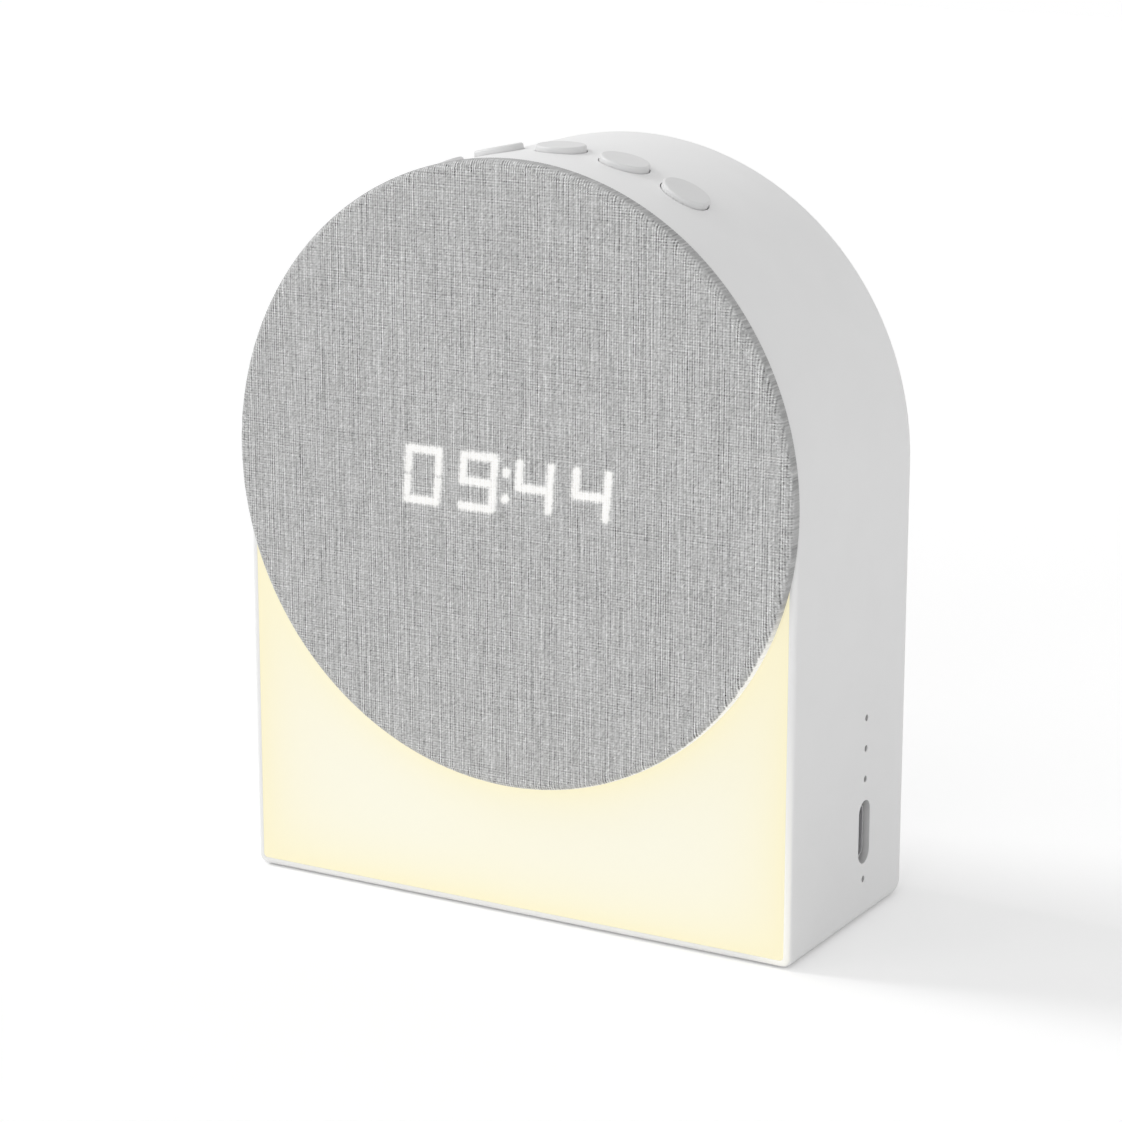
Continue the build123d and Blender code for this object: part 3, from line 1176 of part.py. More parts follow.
with BuildPart() as speaker_wires:
    for shift in PAIR:
        start_depth = (SPIDER_DEPTH + BASKET_BACK) / 2
        lane = WIRE_LANE_X + shift
        wire([
            (BASKET_NECK, SPEAKER_Z + shift, start_depth),
            (lane, SPEAKER_Z + shift, start_depth),
            (lane, SPEAKER_SOCKET_Z + shift, start_depth),
            (lane, SPEAKER_SOCKET_Z + shift, SOCKET_DEPTH),
            (TOWER_SOCKET_X - SOCKET_WIDTH / 2, SPEAKER_SOCKET_Z + shift, SOCKET_DEPTH),
        ])
speaker_wires.part.label = "speaker_wires"
export_step(speaker_wires.part, "parts/speaker_wires.step")

with BuildPart() as display_wires:
    for shift in PAIR:
        lane = WIRE_LANE_X + shift
        start_z = DISPLAY_Z - DISPLAY_WIRE_DROP + shift
        wire([
            (lane, start_z, board_back),
            (lane, start_z, SOCKET_DEPTH),
            (lane, DISPLAY_SOCKET_Z + shift, SOCKET_DEPTH),
            (TOWER_SOCKET_X - SOCKET_WIDTH / 2, DISPLAY_SOCKET_Z + shift, SOCKET_DEPTH),
        ])
display_wires.part.label = "display_wires"
export_step(display_wires.part, "parts/display_wires.step")

with BuildPart() as button_wires:
    for shift in PAIR:
        lane = TOWER_SOCKET_X + shift
        board_radius = (BRACKET_TOP + TACT_BOTTOM) / 2
        start_z = ARCH_CENTRE_HEIGHT + sqrt(board_radius ** 2 - lane ** 2)
        wire([
            (lane, start_z, BRACKET_BACK),
            (lane, start_z, SOCKET_DEPTH),
            (lane, BUTTON_SOCKET_Z + SOCKET_LENGTH / 2, SOCKET_DEPTH),
        ])
button_wires.part.label = "button_wires"
export_step(button_wires.part, "parts/button_wires.step")

with BuildPart() as light_wires:
    for shift in PAIR:
        wire([
            (LIGHT_LANE_X, LOW_SOCKET_Z + shift, LIGHT_BOX_BACK),
            (LIGHT_LANE_X, LOW_SOCKET_Z + shift, SOCKET_DEPTH),
            (LIGHT_SOCKET_X - SOCKET_WIDTH / 2, LOW_SOCKET_Z + shift, SOCKET_DEPTH),
        ])
light_wires.part.label = "light_wires"
export_step(light_wires.part, "parts/light_wires.step")

with BuildPart() as battery_wires:
    # The wires run halfway between the sockets and the battery's fence
    lane_depth = (BOARD_BACK + SOCKET_HEIGHT + COVER_INSIDE - FENCE_HEIGHT) / 2
    for shift in PAIR:
        lane = BATTERY_SOCKET_X + shift
        wire([
            (lane, BATTERY_Z - BATTERY_HEIGHT / 2, lane_depth),
            (lane, LOW_SOCKET_Z, lane_depth),
            (lane, LOW_SOCKET_Z, SOCKET_DEPTH),
        ])
battery_wires.part.label = "battery_wires"
export_step(battery_wires.part, "parts/battery_wires.step")
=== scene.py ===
"""A bedside alarm clock with a cloth front and a glowing panel, in a plain bright studio."""

import json
import math

import bpy
import numpy as np
from mathutils import Matrix, Vector


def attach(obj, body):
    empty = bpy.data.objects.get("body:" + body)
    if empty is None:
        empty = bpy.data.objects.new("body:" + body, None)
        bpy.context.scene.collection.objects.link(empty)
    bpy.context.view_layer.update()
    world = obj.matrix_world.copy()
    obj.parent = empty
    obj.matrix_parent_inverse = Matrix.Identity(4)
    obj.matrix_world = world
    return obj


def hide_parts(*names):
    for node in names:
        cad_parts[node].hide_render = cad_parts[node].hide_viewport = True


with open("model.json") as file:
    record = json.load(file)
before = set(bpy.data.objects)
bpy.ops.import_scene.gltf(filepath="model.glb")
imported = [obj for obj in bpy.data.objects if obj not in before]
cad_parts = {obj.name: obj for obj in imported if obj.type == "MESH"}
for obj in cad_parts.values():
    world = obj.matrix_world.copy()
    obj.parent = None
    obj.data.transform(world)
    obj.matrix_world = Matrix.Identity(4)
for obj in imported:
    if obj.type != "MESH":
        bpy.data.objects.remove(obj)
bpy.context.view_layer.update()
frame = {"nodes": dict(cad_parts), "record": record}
nodes = frame["nodes"]

MM = 0.001

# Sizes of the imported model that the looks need, in millimetres
RIM_Y = -21.1
ARCH_CENTRE_Z = 72.7
BODY_BOTTOM = 0.3
BODY_HALF_WIDTH = 50.0
PANEL_INSET = 1.2
DISC_RADIUS = 50.3
DISC_FRONT_Y = -23.6
DISC_EDGE_RADIUS = 1.2


# Camera and light

CAMERA_AZIMUTH = math.radians(29.987)
CAMERA_ELEVATION = math.radians(14.418)
CAMERA_ROLL = math.radians(0.022)
CAMERA_DISTANCE = 0.530505
CAMERA_TARGET = Vector((0.009097, -0.021176, 0.060494))
CAMERA_LENS = 108.82
CAMERA_NEAR = 0.01

# Each lamp: where it shines from, strength in watts per square metre, and spread in degrees
LAMPS = {
    "side_lamp": ((-0.80, -0.10, 0.59), 1.0, 18),
    "front_lamp": ((-0.60, -0.62, 0.50), 0.16, 30),
    "low_lamp": ((0.10, -0.98, 0.15), 0.63, 50),
}
AIR_STRENGTH = 0.64
FLOOR_SIZE = 3.0
# The floor's white for the light that it throws back, its white as seen, and a glow that is only seen
FLOOR_WHITE = 0.90
FLOOR_SEEN = 0.97
FLOOR_GLOW = 0.15


def make_camera():
    back = Vector((
        math.sin(CAMERA_AZIMUTH) * math.cos(CAMERA_ELEVATION),
        -math.cos(CAMERA_AZIMUTH) * math.cos(CAMERA_ELEVATION),
        math.sin(CAMERA_ELEVATION),
    ))
    right = Vector((math.cos(CAMERA_AZIMUTH), math.sin(CAMERA_AZIMUTH), 0))
    up = back.cross(right)
    across = right * math.cos(CAMERA_ROLL) + up * math.sin(CAMERA_ROLL)
    upwards = up * math.cos(CAMERA_ROLL) - right * math.sin(CAMERA_ROLL)
    data = bpy.data.cameras.new("camera")
    data.lens = CAMERA_LENS
    data.clip_start = CAMERA_NEAR
    camera = bpy.data.objects.new("camera", data)
    turn = Matrix((across, upwards, back)).transposed().to_4x4()
    camera.matrix_world = Matrix.Translation(CAMERA_TARGET + back * CAMERA_DISTANCE) @ turn
    bpy.context.scene.collection.objects.link(camera)
    bpy.context.scene.camera = camera


def add(tree, kind, inputs=None, **settings):
    """Adds a shader node. Inputs are values, or sockets to link."""
    made = tree.nodes.new("ShaderNode" + kind)
    for key, value in settings.items():
        setattr(made, key, value)
    for key, value in (inputs or {}).items():
        if isinstance(value, bpy.types.NodeSocket):
            tree.links.new(value, made.inputs[key])
        else:
            made.inputs[key].default_value = value
    return made


def maths(tree, operation, *values, clamp=False):
    """The result of a Math node."""
    made = add(tree, "Math", dict(enumerate(values)), operation=operation, use_clamp=clamp)
    return made.outputs[0]


def remap(tree, value, low, high, new_low, new_high):
    """The value moved from one range to another, held inside it, with soft ends."""
    made = add(
        tree, "MapRange",
        {"Value": value, "From Min": low, "From Max": high, "To Min": new_low, "To Max": new_high},
        interpolation_type="SMOOTHSTEP",
    )
    return made.outputs["Result"]


def background_rays(tree):
    """1 for the rays that see the studio's bright background, 0 for the light that it casts."""
    path = add(tree, "LightPath").outputs
    return maths(
        tree, "MAXIMUM", path["Is Camera Ray"],
        maths(tree, "MAXIMUM", path["Is Glossy Ray"], path["Is Transmission Ray"]),
    )


def make_air():
    """Even light from all round, which is seen as pure white."""
    world = bpy.data.worlds.new("studio_air")
    world.use_nodes = True
    bpy.context.scene.world = world
    tree = world.node_tree
    tree.nodes.clear()
    strength = maths(tree, "MULTIPLY_ADD", background_rays(tree), 1 - AIR_STRENGTH, AIR_STRENGTH)
    air = add(tree, "Background", {"Color": (1, 1, 1, 1), "Strength": strength})
    output = add(tree, "OutputWorld")
    tree.links.new(air.outputs[0], output.inputs["Surface"])


def make_lamps():
    for name, (source, strength, spread) in LAMPS.items():
        data = bpy.data.lights.new(name, "SUN")
        data.energy = strength
        data.angle = math.radians(spread)
        lamp = bpy.data.objects.new(name, data)
        lamp.rotation_euler = Vector(source).to_track_quat("Z", "Y").to_euler()
        bpy.context.scene.collection.objects.link(lamp)


def make_floor():
    mesh = bpy.data.meshes.new("floor")
    half = FLOOR_SIZE / 2
    corners = [(-half, -half, 0), (half, -half, 0), (half, half, 0), (-half, half, 0)]
    mesh.from_pydata(corners, [], [(0, 1, 2, 3)])
    floor = bpy.data.objects.new("floor", mesh)
    bpy.context.scene.collection.objects.link(floor)
    paper = bpy.data.materials.new("floor_paper")
    paper.use_nodes = True
    tree = paper.node_tree
    tree.nodes.clear()
    seen_white = maths(
        tree, "MULTIPLY_ADD", background_rays(tree), FLOOR_SEEN - FLOOR_WHITE, FLOOR_WHITE,
    )
    diffuse = add(tree, "BsdfDiffuse", {"Color": seen_white})
    seen = add(tree, "Emission", {
        "Color": (1, 1, 1, 1),
        "Strength": maths(tree, "MULTIPLY", background_rays(tree), FLOOR_GLOW),
    })
    total = add(tree, "AddShader")
    tree.links.new(diffuse.outputs[0], total.inputs[0])
    tree.links.new(seen.outputs[0], total.inputs[1])
    output = add(tree, "OutputMaterial")
    tree.links.new(total.outputs[0], output.inputs["Surface"])
    mesh.materials.append(paper)


# Materials

def new_material(name, **settings):
    """A material with one Principled shader. Settings are the shader's own values."""
    material = bpy.data.materials.new(name)
    material.use_nodes = True
    tree = material.node_tree
    shader = tree.nodes["Principled BSDF"]
    for key, value in settings.items():
        shader.inputs[key.replace("_", " ")].default_value = value
    return material, tree, shader


def place(tree):
    """The point on the surface in the row frame, in millimetres."""
    at = add(tree, "TexCoord").outputs["Object"]
    return add(tree, "VectorMath", {0: at, 3: 1 / MM}, operation="SCALE").outputs[0]


def noise(tree, at, size, detail=2.0, stretch=None):
    """Soft noise from 0 to 1 whose spots are about this many millimetres across."""
    if stretch:
        at = add(tree, "VectorMath", {0: at, 1: stretch}, operation="MULTIPLY").outputs[0]
    made = add(tree, "TexNoise", {"Vector": at, "Scale": 1 / size, "Detail": detail})
    return made.outputs["Fac"]


def paint(tree, shader, colour, factor):
    """Gives the shader the colour, made lighter or darker by a factor that varies over the surface."""
    made = add(tree, "VectorMath", {0: colour, 3: factor}, operation="SCALE")
    tree.links.new(made.outputs[0], shader.inputs["Base Color"])


def relief(tree, shader, height, depth):
    """Raises the surface by a height from 0 to 1 times the depth, in millimetres."""
    made = add(tree, "Bump", {"Height": height, "Distance": depth * MM, "Strength": 1.0})
    tree.links.new(made.outputs["Normal"], shader.inputs["Normal"])


FINE_DETAIL = 3.0
CLOUD_SIZE = 9.0
PLASTIC_ROUGHNESS_SPREAD = 0.14


def moulded(name, colour, roughness, grain=0.18, depth=0.012, mottle=0.02):
    """Moulded plastic with a fine spark-eroded grain and a faint cloudiness."""
    material, tree, shader = new_material(name)
    at = place(tree)
    fine = noise(tree, at, grain, FINE_DETAIL)
    cloud = noise(tree, at, CLOUD_SIZE, FINE_DETAIL)
    factor = maths(tree, "MULTIPLY_ADD", cloud, 2 * mottle, 1 - mottle)
    factor = maths(tree, "MULTIPLY_ADD", fine, mottle, factor)
    paint(tree, shader, colour, factor)
    spread = PLASTIC_ROUGHNESS_SPREAD
    rough = maths(tree, "MULTIPLY_ADD", fine, spread, roughness - spread / 2)
    tree.links.new(rough, shader.inputs["Roughness"])
    relief(tree, shader, fine, depth)
    return material


# The openings of the right side. Each has the height of its middle, its half width and its half height
SIDE_FACE_X = 49.9
OPENINGS_Y = 5.3
SLOT = (15.0, 2.4, 5.6)
PINHOLES = ((7.02, 0.7, 0.7), (23.93, 0.7, 0.7), (29.02, 0.7, 0.7), (34.11, 0.7, 0.7))
OPENING_SHADE = 0.73


def shade_openings(material):
    """Paints shade on the walls of the slot and the pinholes, under the side face."""
    tree = material.node_tree
    shader = tree.nodes["Principled BSDF"]
    x, y, z = add(tree, "SeparateXYZ", {0: place(tree)}).outputs
    y_away = maths(tree, "ABSOLUTE", maths(tree, "SUBTRACT", y, OPENINGS_Y))
    within = None
    for centre, half_width, half_height in (SLOT, *PINHOLES):
        z_away = maths(tree, "ABSOLUTE", maths(tree, "SUBTRACT", z, centre))
        near = maths(
            tree, "MULTIPLY", maths(tree, "LESS_THAN", y_away, half_width),
            maths(tree, "LESS_THAN", z_away, half_height),
        )
        within = near if within is None else maths(tree, "MAXIMUM", within, near)
    under = maths(
        tree, "MULTIPLY", maths(tree, "GREATER_THAN", x, 0.0), maths(tree, "LESS_THAN", x, SIDE_FACE_X),
    )
    # Painted shade: the walls inside the openings are darkened by OPENING_SHADE
    shade = maths(tree, "MULTIPLY_ADD", maths(tree, "MULTIPLY", within, under), OPENING_SHADE - 1, 1.0)
    plain = shader.inputs["Base Color"].links[0].from_socket
    paint(tree, shader, plain, shade)
    return material


BRUSH_SIZE = 0.5
BRUSH_DEPTH = 0.01
BRUSH_DARKEST = 0.86
BRUSH_CONTRAST = 0.25
METAL_ROUGHNESS_SPREAD = 0.2


def metal(name, colour, roughness, brush=(1, 1, 12)):
    """Metal with fine brushed lines."""
    material, tree, shader = new_material(name, Metallic=1.0)
    lines = noise(tree, place(tree), BRUSH_SIZE, FINE_DETAIL, brush)
    paint(tree, shader, colour, maths(tree, "MULTIPLY_ADD", lines, BRUSH_CONTRAST, BRUSH_DARKEST))
    spread = METAL_ROUGHNESS_SPREAD
    rough = maths(tree, "MULTIPLY_ADD", lines, spread, roughness - spread / 2)
    tree.links.new(rough, shader.inputs["Roughness"])
    relief(tree, shader, lines, BRUSH_DEPTH)
    return material


PANEL_EDGE_COLOUR = (0.955, 0.89, 0.62)
PANEL_MIDDLE_COLOUR = (0.945, 0.925, 0.79)
# The strength of the light, and the share of the same colour that the plastic has of its own
PANEL_GLOW = 0.62
PANEL_UNLIT = 0.39
PANEL_MOTTLE = 0.02
PANEL_GRAIN = 0.2
PANEL_GRAIN_DEPTH = 0.006
PANEL_CLOUD_SIZE = 14.0
PANEL_CLOUD = 0.12
# How far in the yellow fades, from the panel's sides, its bottom edge and the disc
SIDE_FADE = 6.5
BOTTOM_FADE = 5.5
DISC_FADE = 4.5


def lit_panel():
    """Milky plastic lit from behind: whiter over the lamps and more yellow towards its edges."""
    material, tree, shader = new_material("lit_panel", Roughness=0.42)
    at = place(tree)
    x, _, z = add(tree, "SeparateXYZ", {0: at}).outputs
    from_side = maths(tree, "SUBTRACT", BODY_HALF_WIDTH - PANEL_INSET, maths(tree, "ABSOLUTE", x))
    from_bottom = maths(tree, "SUBTRACT", z, BODY_BOTTOM + PANEL_INSET)
    height = maths(tree, "SUBTRACT", z, ARCH_CENTRE_Z)
    radius = maths(tree, "SQRT", maths(
        tree, "ADD", maths(tree, "MULTIPLY", x, x), maths(tree, "MULTIPLY", height, height),
    ))
    from_disc = maths(tree, "SUBTRACT", radius, DISC_RADIUS)
    share = None
    for distance, reach in ((from_side, SIDE_FADE), (from_bottom, BOTTOM_FADE), (from_disc, DISC_FADE)):
        inside = maths(tree, "MAXIMUM", distance, 0.0)
        fade = maths(tree, "EXPONENT", maths(tree, "DIVIDE", inside, -reach))
        part = maths(tree, "SUBTRACT", 1.0, fade)
        share = part if share is None else maths(tree, "MULTIPLY", share, part)
    cloud = maths(tree, "SUBTRACT", noise(tree, at, PANEL_CLOUD_SIZE), 0.5)
    share = maths(tree, "MULTIPLY_ADD", cloud, PANEL_CLOUD, share, clamp=True)
    colour = add(tree, "MixRGB", {
        "Fac": share, "Color1": (*PANEL_EDGE_COLOUR, 1), "Color2": (*PANEL_MIDDLE_COLOUR, 1),
    }).outputs[0]
    fine = noise(tree, at, PANEL_GRAIN)
    paint(tree, shader, colour, maths(tree, "MULTIPLY_ADD", fine, PANEL_MOTTLE, PANEL_UNLIT))
    tree.links.new(colour, shader.inputs["Emission Color"])
    shader.inputs["Emission Strength"].default_value = PANEL_GLOW
    relief(tree, shader, fine, PANEL_GRAIN_DEPTH)
    return material


# Painted light: the panel's light on the shell's rim, painted on as a glow
PAINTED_RIM_GLOW = 0.15
# The painted glow grows from the first depth behind the rim's face to the second, and down from the first
# height
RIM_GLOW_DEPTHS = (0.5, 0.1)
RIM_GLOW_HEIGHTS = (45.0, 4.0)
RIM_GLOW_WIDTH = 8.0


def paint_rim_glow(material):
    """Paints the panel's light onto the front of the shell's thin rim as a glow, low on its right side."""
    tree = material.node_tree
    shader = tree.nodes["Principled BSDF"]
    x, y, z = add(tree, "SeparateXYZ", {0: place(tree)}).outputs
    front = remap(tree, y, RIM_Y + RIM_GLOW_DEPTHS[0], RIM_Y + RIM_GLOW_DEPTHS[1], 0.0, PAINTED_RIM_GLOW)
    low = remap(tree, z, *RIM_GLOW_HEIGHTS, 0.0, 1.0)
    right = remap(tree, x, BODY_HALF_WIDTH - RIM_GLOW_WIDTH, BODY_HALF_WIDTH - PANEL_INSET, 0.0, 1.0)
    painted_glow = maths(tree, "MULTIPLY", front, maths(tree, "MULTIPLY", low, right))
    tree.links.new(painted_glow, shader.inputs["Emission Strength"])
    shader.inputs["Emission Color"].default_value = (*PANEL_EDGE_COLOUR, 1)
    return material


MASK_GREENS = ((0.02, 0.16, 0.07, 1), (0.02, 0.13, 0.06, 1))
TRACE_GREEN = (0.06, 0.28, 0.13, 1)
TRACE_SCALE = 0.35
TRACE_WIDTH = 0.04
MASK_CLOUD_SIZE = 3.0
MASK_DARKEST = 0.85
MASK_CONTRAST = 0.3


def circuit_board():
    """Dark green solder mask with traces."""
    material, tree, shader = new_material("circuit_board", Roughness=0.4)
    at = place(tree)
    lanes = add(tree, "TexBrick", {
        "Vector": at, "Scale": TRACE_SCALE, "Mortar Size": TRACE_WIDTH,
        "Color1": MASK_GREENS[0], "Color2": MASK_GREENS[1], "Mortar": TRACE_GREEN,
    }).outputs["Color"]
    cloud = noise(tree, at, MASK_CLOUD_SIZE)
    paint(tree, shader, lanes, maths(tree, "MULTIPLY_ADD", cloud, MASK_CONTRAST, MASK_DARKEST))
    return material


STRIP_DARKEST = 0.8
STRIP_CONTRAST = 0.3
STRIP_DEPTH = 0.1
STRIP_UNEVENNESS = 0.4


def woven_strip(name, colour, pitch):
    """A coarse weave or a winding, for the parts behind the cloth."""
    material, tree, shader = new_material(name, Roughness=0.8)
    bands = add(tree, "TexWave", {
        "Vector": place(tree), "Scale": 1 / pitch, "Distortion": STRIP_UNEVENNESS,
    }).outputs["Fac"]
    paint(tree, shader, colour, maths(tree, "MULTIPLY_ADD", bands, STRIP_CONTRAST, STRIP_DARKEST))
    relief(tree, shader, bands, STRIP_DEPTH)
    return material


CLOTH_COLOUR = (0.505, 0.505, 0.505)
FIBRE_SIZE = 0.16
FIBRE_STRETCH = 0.12
FIBRE_CONTRAST = 0.3
FIBRE_DEPTH = 0.03
FIGURE_COLOUR = (1.0, 0.99, 0.96)
FIGURE_GLOW = 0.46
# Painted light: the strength of the glow that stands for the panel's light on the disc's side
PAINTED_SPILL_GLOW = 0.55
# The figures' light, by the distance from their edges in millimetres, below 0 inside: where it begins and
# is full, and where the threads' tones begin to drown in it and are down to the share that is left
LIT_FROM, LIT_FULL = 0.46, -0.30
DROWN_FROM, DROWN_FULL = 0.2, -0.2
TONE_LEFT = 0.4
HAZE_REACH = 1.2
HAZE_GLOW = 0.04
FRAY_SIZE = 0.35
FRAY_REACH = 0.7


def woven_cloth():
    """Undyed linen weave: light and dark threads, fine fibres, the figures' light from behind, and the
    panel's light on the disc's side painted on as a glow.
    """
    material, tree, shader = new_material("woven_cloth", Roughness=0.95, Sheen_Weight=0.12)
    shader.inputs["Sheen Roughness"].default_value = 0.6
    shader.inputs["Specular IOR Level"].default_value = 0.2
    at = place(tree)
    tone = add(tree, "Attribute", attribute_name="tone").outputs["Fac"]
    upright = noise(tree, at, FIBRE_SIZE, stretch=(1, 1, FIBRE_STRETCH))
    level = noise(tree, at, FIBRE_SIZE, stretch=(FIBRE_STRETCH, 1, 1))
    fibres = maths(tree, "ADD", upright, level)
    # The figures show through the weave with edges frayed by the threads, and drown the threads' tones
    away = add(tree, "Attribute", attribute_name="figure").outputs["Fac"]
    fray = maths(tree, "SUBTRACT", noise(tree, at, FRAY_SIZE, 1.0, (1, 1, 0.5)), 0.5)
    frayed = maths(tree, "MULTIPLY_ADD", fray, FRAY_REACH, away)
    lit = remap(tree, frayed, LIT_FROM, LIT_FULL, 0.0, FIGURE_GLOW)
    drowned = remap(tree, away, DROWN_FROM, DROWN_FULL, 1.0, TONE_LEFT)
    factor = maths(tree, "MULTIPLY_ADD", tone, drowned, 1.0)
    factor = maths(tree, "MULTIPLY_ADD", maths(tree, "SUBTRACT", fibres, 1.0), FIBRE_CONTRAST, factor)
    paint(tree, shader, CLOTH_COLOUR, factor)
    relief(tree, shader, fibres, FIBRE_DEPTH)
    haze = remap(tree, away, HAZE_REACH, 0.0, 0.0, HAZE_GLOW)
    # Painted light: the panel's light on the disc's side, painted on as a glow
    painted_spill = add(tree, "Attribute", attribute_name="painted_spill").outputs["Fac"]
    strength = maths(tree, "ADD", maths(tree, "ADD", lit, haze), maths(tree, "MULTIPLY", painted_spill, PAINTED_SPILL_GLOW))
    tree.links.new(strength, shader.inputs["Emission Strength"])
    shader.inputs["Emission Color"].default_value = (*FIGURE_COLOUR, 1)
    return material


def make_materials():
    """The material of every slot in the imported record."""
    return {
        "white_shell": paint_rim_glow(shade_openings(moulded("white_shell", (0.86, 0.86, 0.86), 0.5))),
        "white_buttons": moulded("white_buttons", (0.73, 0.73, 0.73), 0.45, grain=0.14),
        "lit_panel": lit_panel(),
        "woven_cloth": woven_cloth(),
        "white_inner_plastic": moulded("white_inner_plastic", (0.80, 0.80, 0.80), 0.55),
        "dark_inner_plastic": moulded("dark_inner_plastic", (0.06, 0.06, 0.065), 0.5),
        "milky_resin": moulded("milky_resin", (0.80, 0.80, 0.80), 0.3, mottle=0.05),
        "circuit_board": circuit_board(),
        "board_parts": moulded("board_parts", (0.05, 0.05, 0.055), 0.4, grain=0.1),
        "white_connectors": moulded("white_connectors", (0.78, 0.76, 0.70), 0.5),
        "lamp_chips": moulded("lamp_chips", (0.85, 0.72, 0.30), 0.35, mottle=0.06),
        "screw_steel": metal("screw_steel", (0.55, 0.55, 0.56), 0.35),
        "plated_shell": metal("plated_shell", (0.80, 0.80, 0.81), 0.45, (6, 1, 1)),
        "ferrite": moulded("ferrite", (0.07, 0.07, 0.07), 0.6, grain=0.4, depth=0.05, mottle=0.08),
        "paper_cone": moulded("paper_cone", (0.09, 0.09, 0.09), 0.9, grain=0.5, depth=0.08),
        "soft_suspension": moulded("soft_suspension", (0.05, 0.05, 0.05), 0.8, grain=0.4, depth=0.05),
        "spider_cloth": woven_strip("spider_cloth", (0.55, 0.38, 0.16), 0.8),
        "coil_winding": woven_strip("coil_winding", (0.62, 0.28, 0.12), 0.25),
        "plunger_plastic": moulded("plunger_plastic", (0.07, 0.07, 0.07), 0.45),
        "foot_rubber": moulded("foot_rubber", (0.10, 0.10, 0.10), 0.85, grain=0.3, depth=0.03, mottle=0.06),
        "battery_foil": metal("battery_foil", (0.62, 0.63, 0.65), 0.4, (3, 1, 1)),
        "wire_sleeve": moulded("wire_sleeve", (0.45, 0.05, 0.04), 0.45),
    }


def dress_nodes(materials):
    """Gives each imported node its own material, or else that of its slot."""
    own = {
        # The status light pipe is near black: painted shade that keeps its pinhole dark
        "status_light_pipe": moulded("pipe_shade_resin", (0.07, 0.07, 0.07), 0.3, mottle=0.05),
        "usb_socket_tongue": moulded("socket_tongue", (0.30, 0.30, 0.31), 0.45),
    }
    for part in frame["record"]["subparts"]:
        mesh = nodes[part["node"]].data
        mesh.materials.clear()
        mesh.materials.append(own.get(part["node"], materials[part["material_slot"]]))


# The lit figures

TIME_SHOWN = "0944"
# The lit bars of each figure, by the letters that such displays give them
LIT_BARS = {"0": "abcdef", "9": "abcdfg", "4": "bcfg"}
DIGIT_PITCH = 10.2
DIGIT_WIDTH = 5.6
DIGIT_HEIGHT = 9.5
STROKE = 1.22
BAR_GAP = 0.7
TOP_GAP = 0.35
BOTTOM_GAP = 0.9
SLANT = math.tan(math.radians(4.5))
DISPLAY_X = 0.5
DISPLAY_Z = 72.05
COLON_SPREAD = 2.1
COLON_RADIUS = 0.68
# A distance at which none of the figures' light is left
NO_FIGURE = 2.0


def distance_to_bar(x, z, start, end):
    """Distance from points to a straight line between two points."""
    start, end = np.array(start), np.array(end)
    along = end - start
    dx, dz = x - start[0], z - start[1]
    part = np.clip((dx * along[0] + dz * along[1]) / (along @ along), 0, 1)
    return np.hypot(dx - part * along[0], dz - part * along[1])


def figure_distance(x, z):
    """Distance from points on the cloth to the nearest lit bar or dot, below 0 inside it."""
    z = z - DISPLAY_Z
    x = x - DISPLAY_X - z * SLANT
    nearest = np.full(x.shape, NO_FIGURE)
    half, middle = DIGIT_WIDTH / 2, (DIGIT_HEIGHT - STROKE) / 2
    upper, lower = (BAR_GAP, middle - TOP_GAP), (BOTTOM_GAP - middle, -BAR_GAP)
    bars = {
        "a": ((-half, middle), (half, middle)), "b": ((half, upper[0]), (half, upper[1])),
        "c": ((half, lower[0]), (half, lower[1])), "d": ((-half, -middle), (half, -middle)),
        "e": ((-half, lower[0]), (-half, lower[1])), "f": ((-half, upper[0]), (-half, upper[1])),
        "g": ((-half, 0), (half, 0)),
    }
    for number, digit in enumerate(TIME_SHOWN):
        centre = (number - (len(TIME_SHOWN) - 1) / 2) * DIGIT_PITCH
        for bar in LIT_BARS[digit]:
            away = distance_to_bar(x - centre, z, *bars[bar]) - STROKE / 2
            nearest = np.minimum(nearest, away)
    for side in (-1, 1):
        away = np.hypot(x, z - side * COLON_SPREAD) - COLON_RADIUS
        nearest = np.minimum(nearest, away)
    return nearest


# The cloth

THREAD_PITCH = 0.42
THREAD_RISE = 0.03
THREAD_SINK = 0.04
# How the tones and the places of the threads drift along them: lengths in half threads, and strengths
UPRIGHT_MIX = ((7, 0.11), (28, 0.10))
LEVEL_MIX = ((7, 0.05), (20, 0.025))
WANDER_MIX = ((10, 0.015),)
EVENING = 0.55
CROSSING_SCATTER = 0.15
# Painted shade and highlight of the weave's relief: half threads between the threads darker, the threads'
# middles lighter
UPRIGHT_PAINTED_SHADE = 0.24
LEVEL_PAINTED_SHADE = 0.14
# Lighter upright threads stand higher: the share of the full rise for each unit of tone
RISE_BY_TONE = 3
WEAVE_SEED = 4
SPARE_THREADS = 4

# The sheet covers the flat front, and its border dips under the start of the band round the disc's edge
CLOTH_THICKNESS = 0.3
SHEET_RADIUS = 48.96
BAND_START = 48.35
BAND_TUCK = 0.15
JOIN_DIP = 0.16
JOIN_DIP_WIDTH = 0.4
BAND_START_DIP = JOIN_DIP / 5
# Distances from the band's start up to which the relief is flat, and from which it is full
RELIEF_NONE, RELIEF_FULL = 0.1, 0.7

# The band's rings, on the flat front, round the edge and down the side, and the ribs across them
FLAT_START = 0.07
FLAT_RINGS = 9
TURN_RINGS = 12
SIDE_RINGS = 6
HEM_GAP = 0.04
HEM_Y = RIM_Y - HEM_GAP
RIB_COUNT = 752
RIB_STEPS = 4
RIB_RISE = 0.018
RIB_SEED = 9
# The part of the quarter turn over the edge, in degrees, in which the weave gives way to ribs
RIBS_FROM, RIBS_FULL = 45, 88

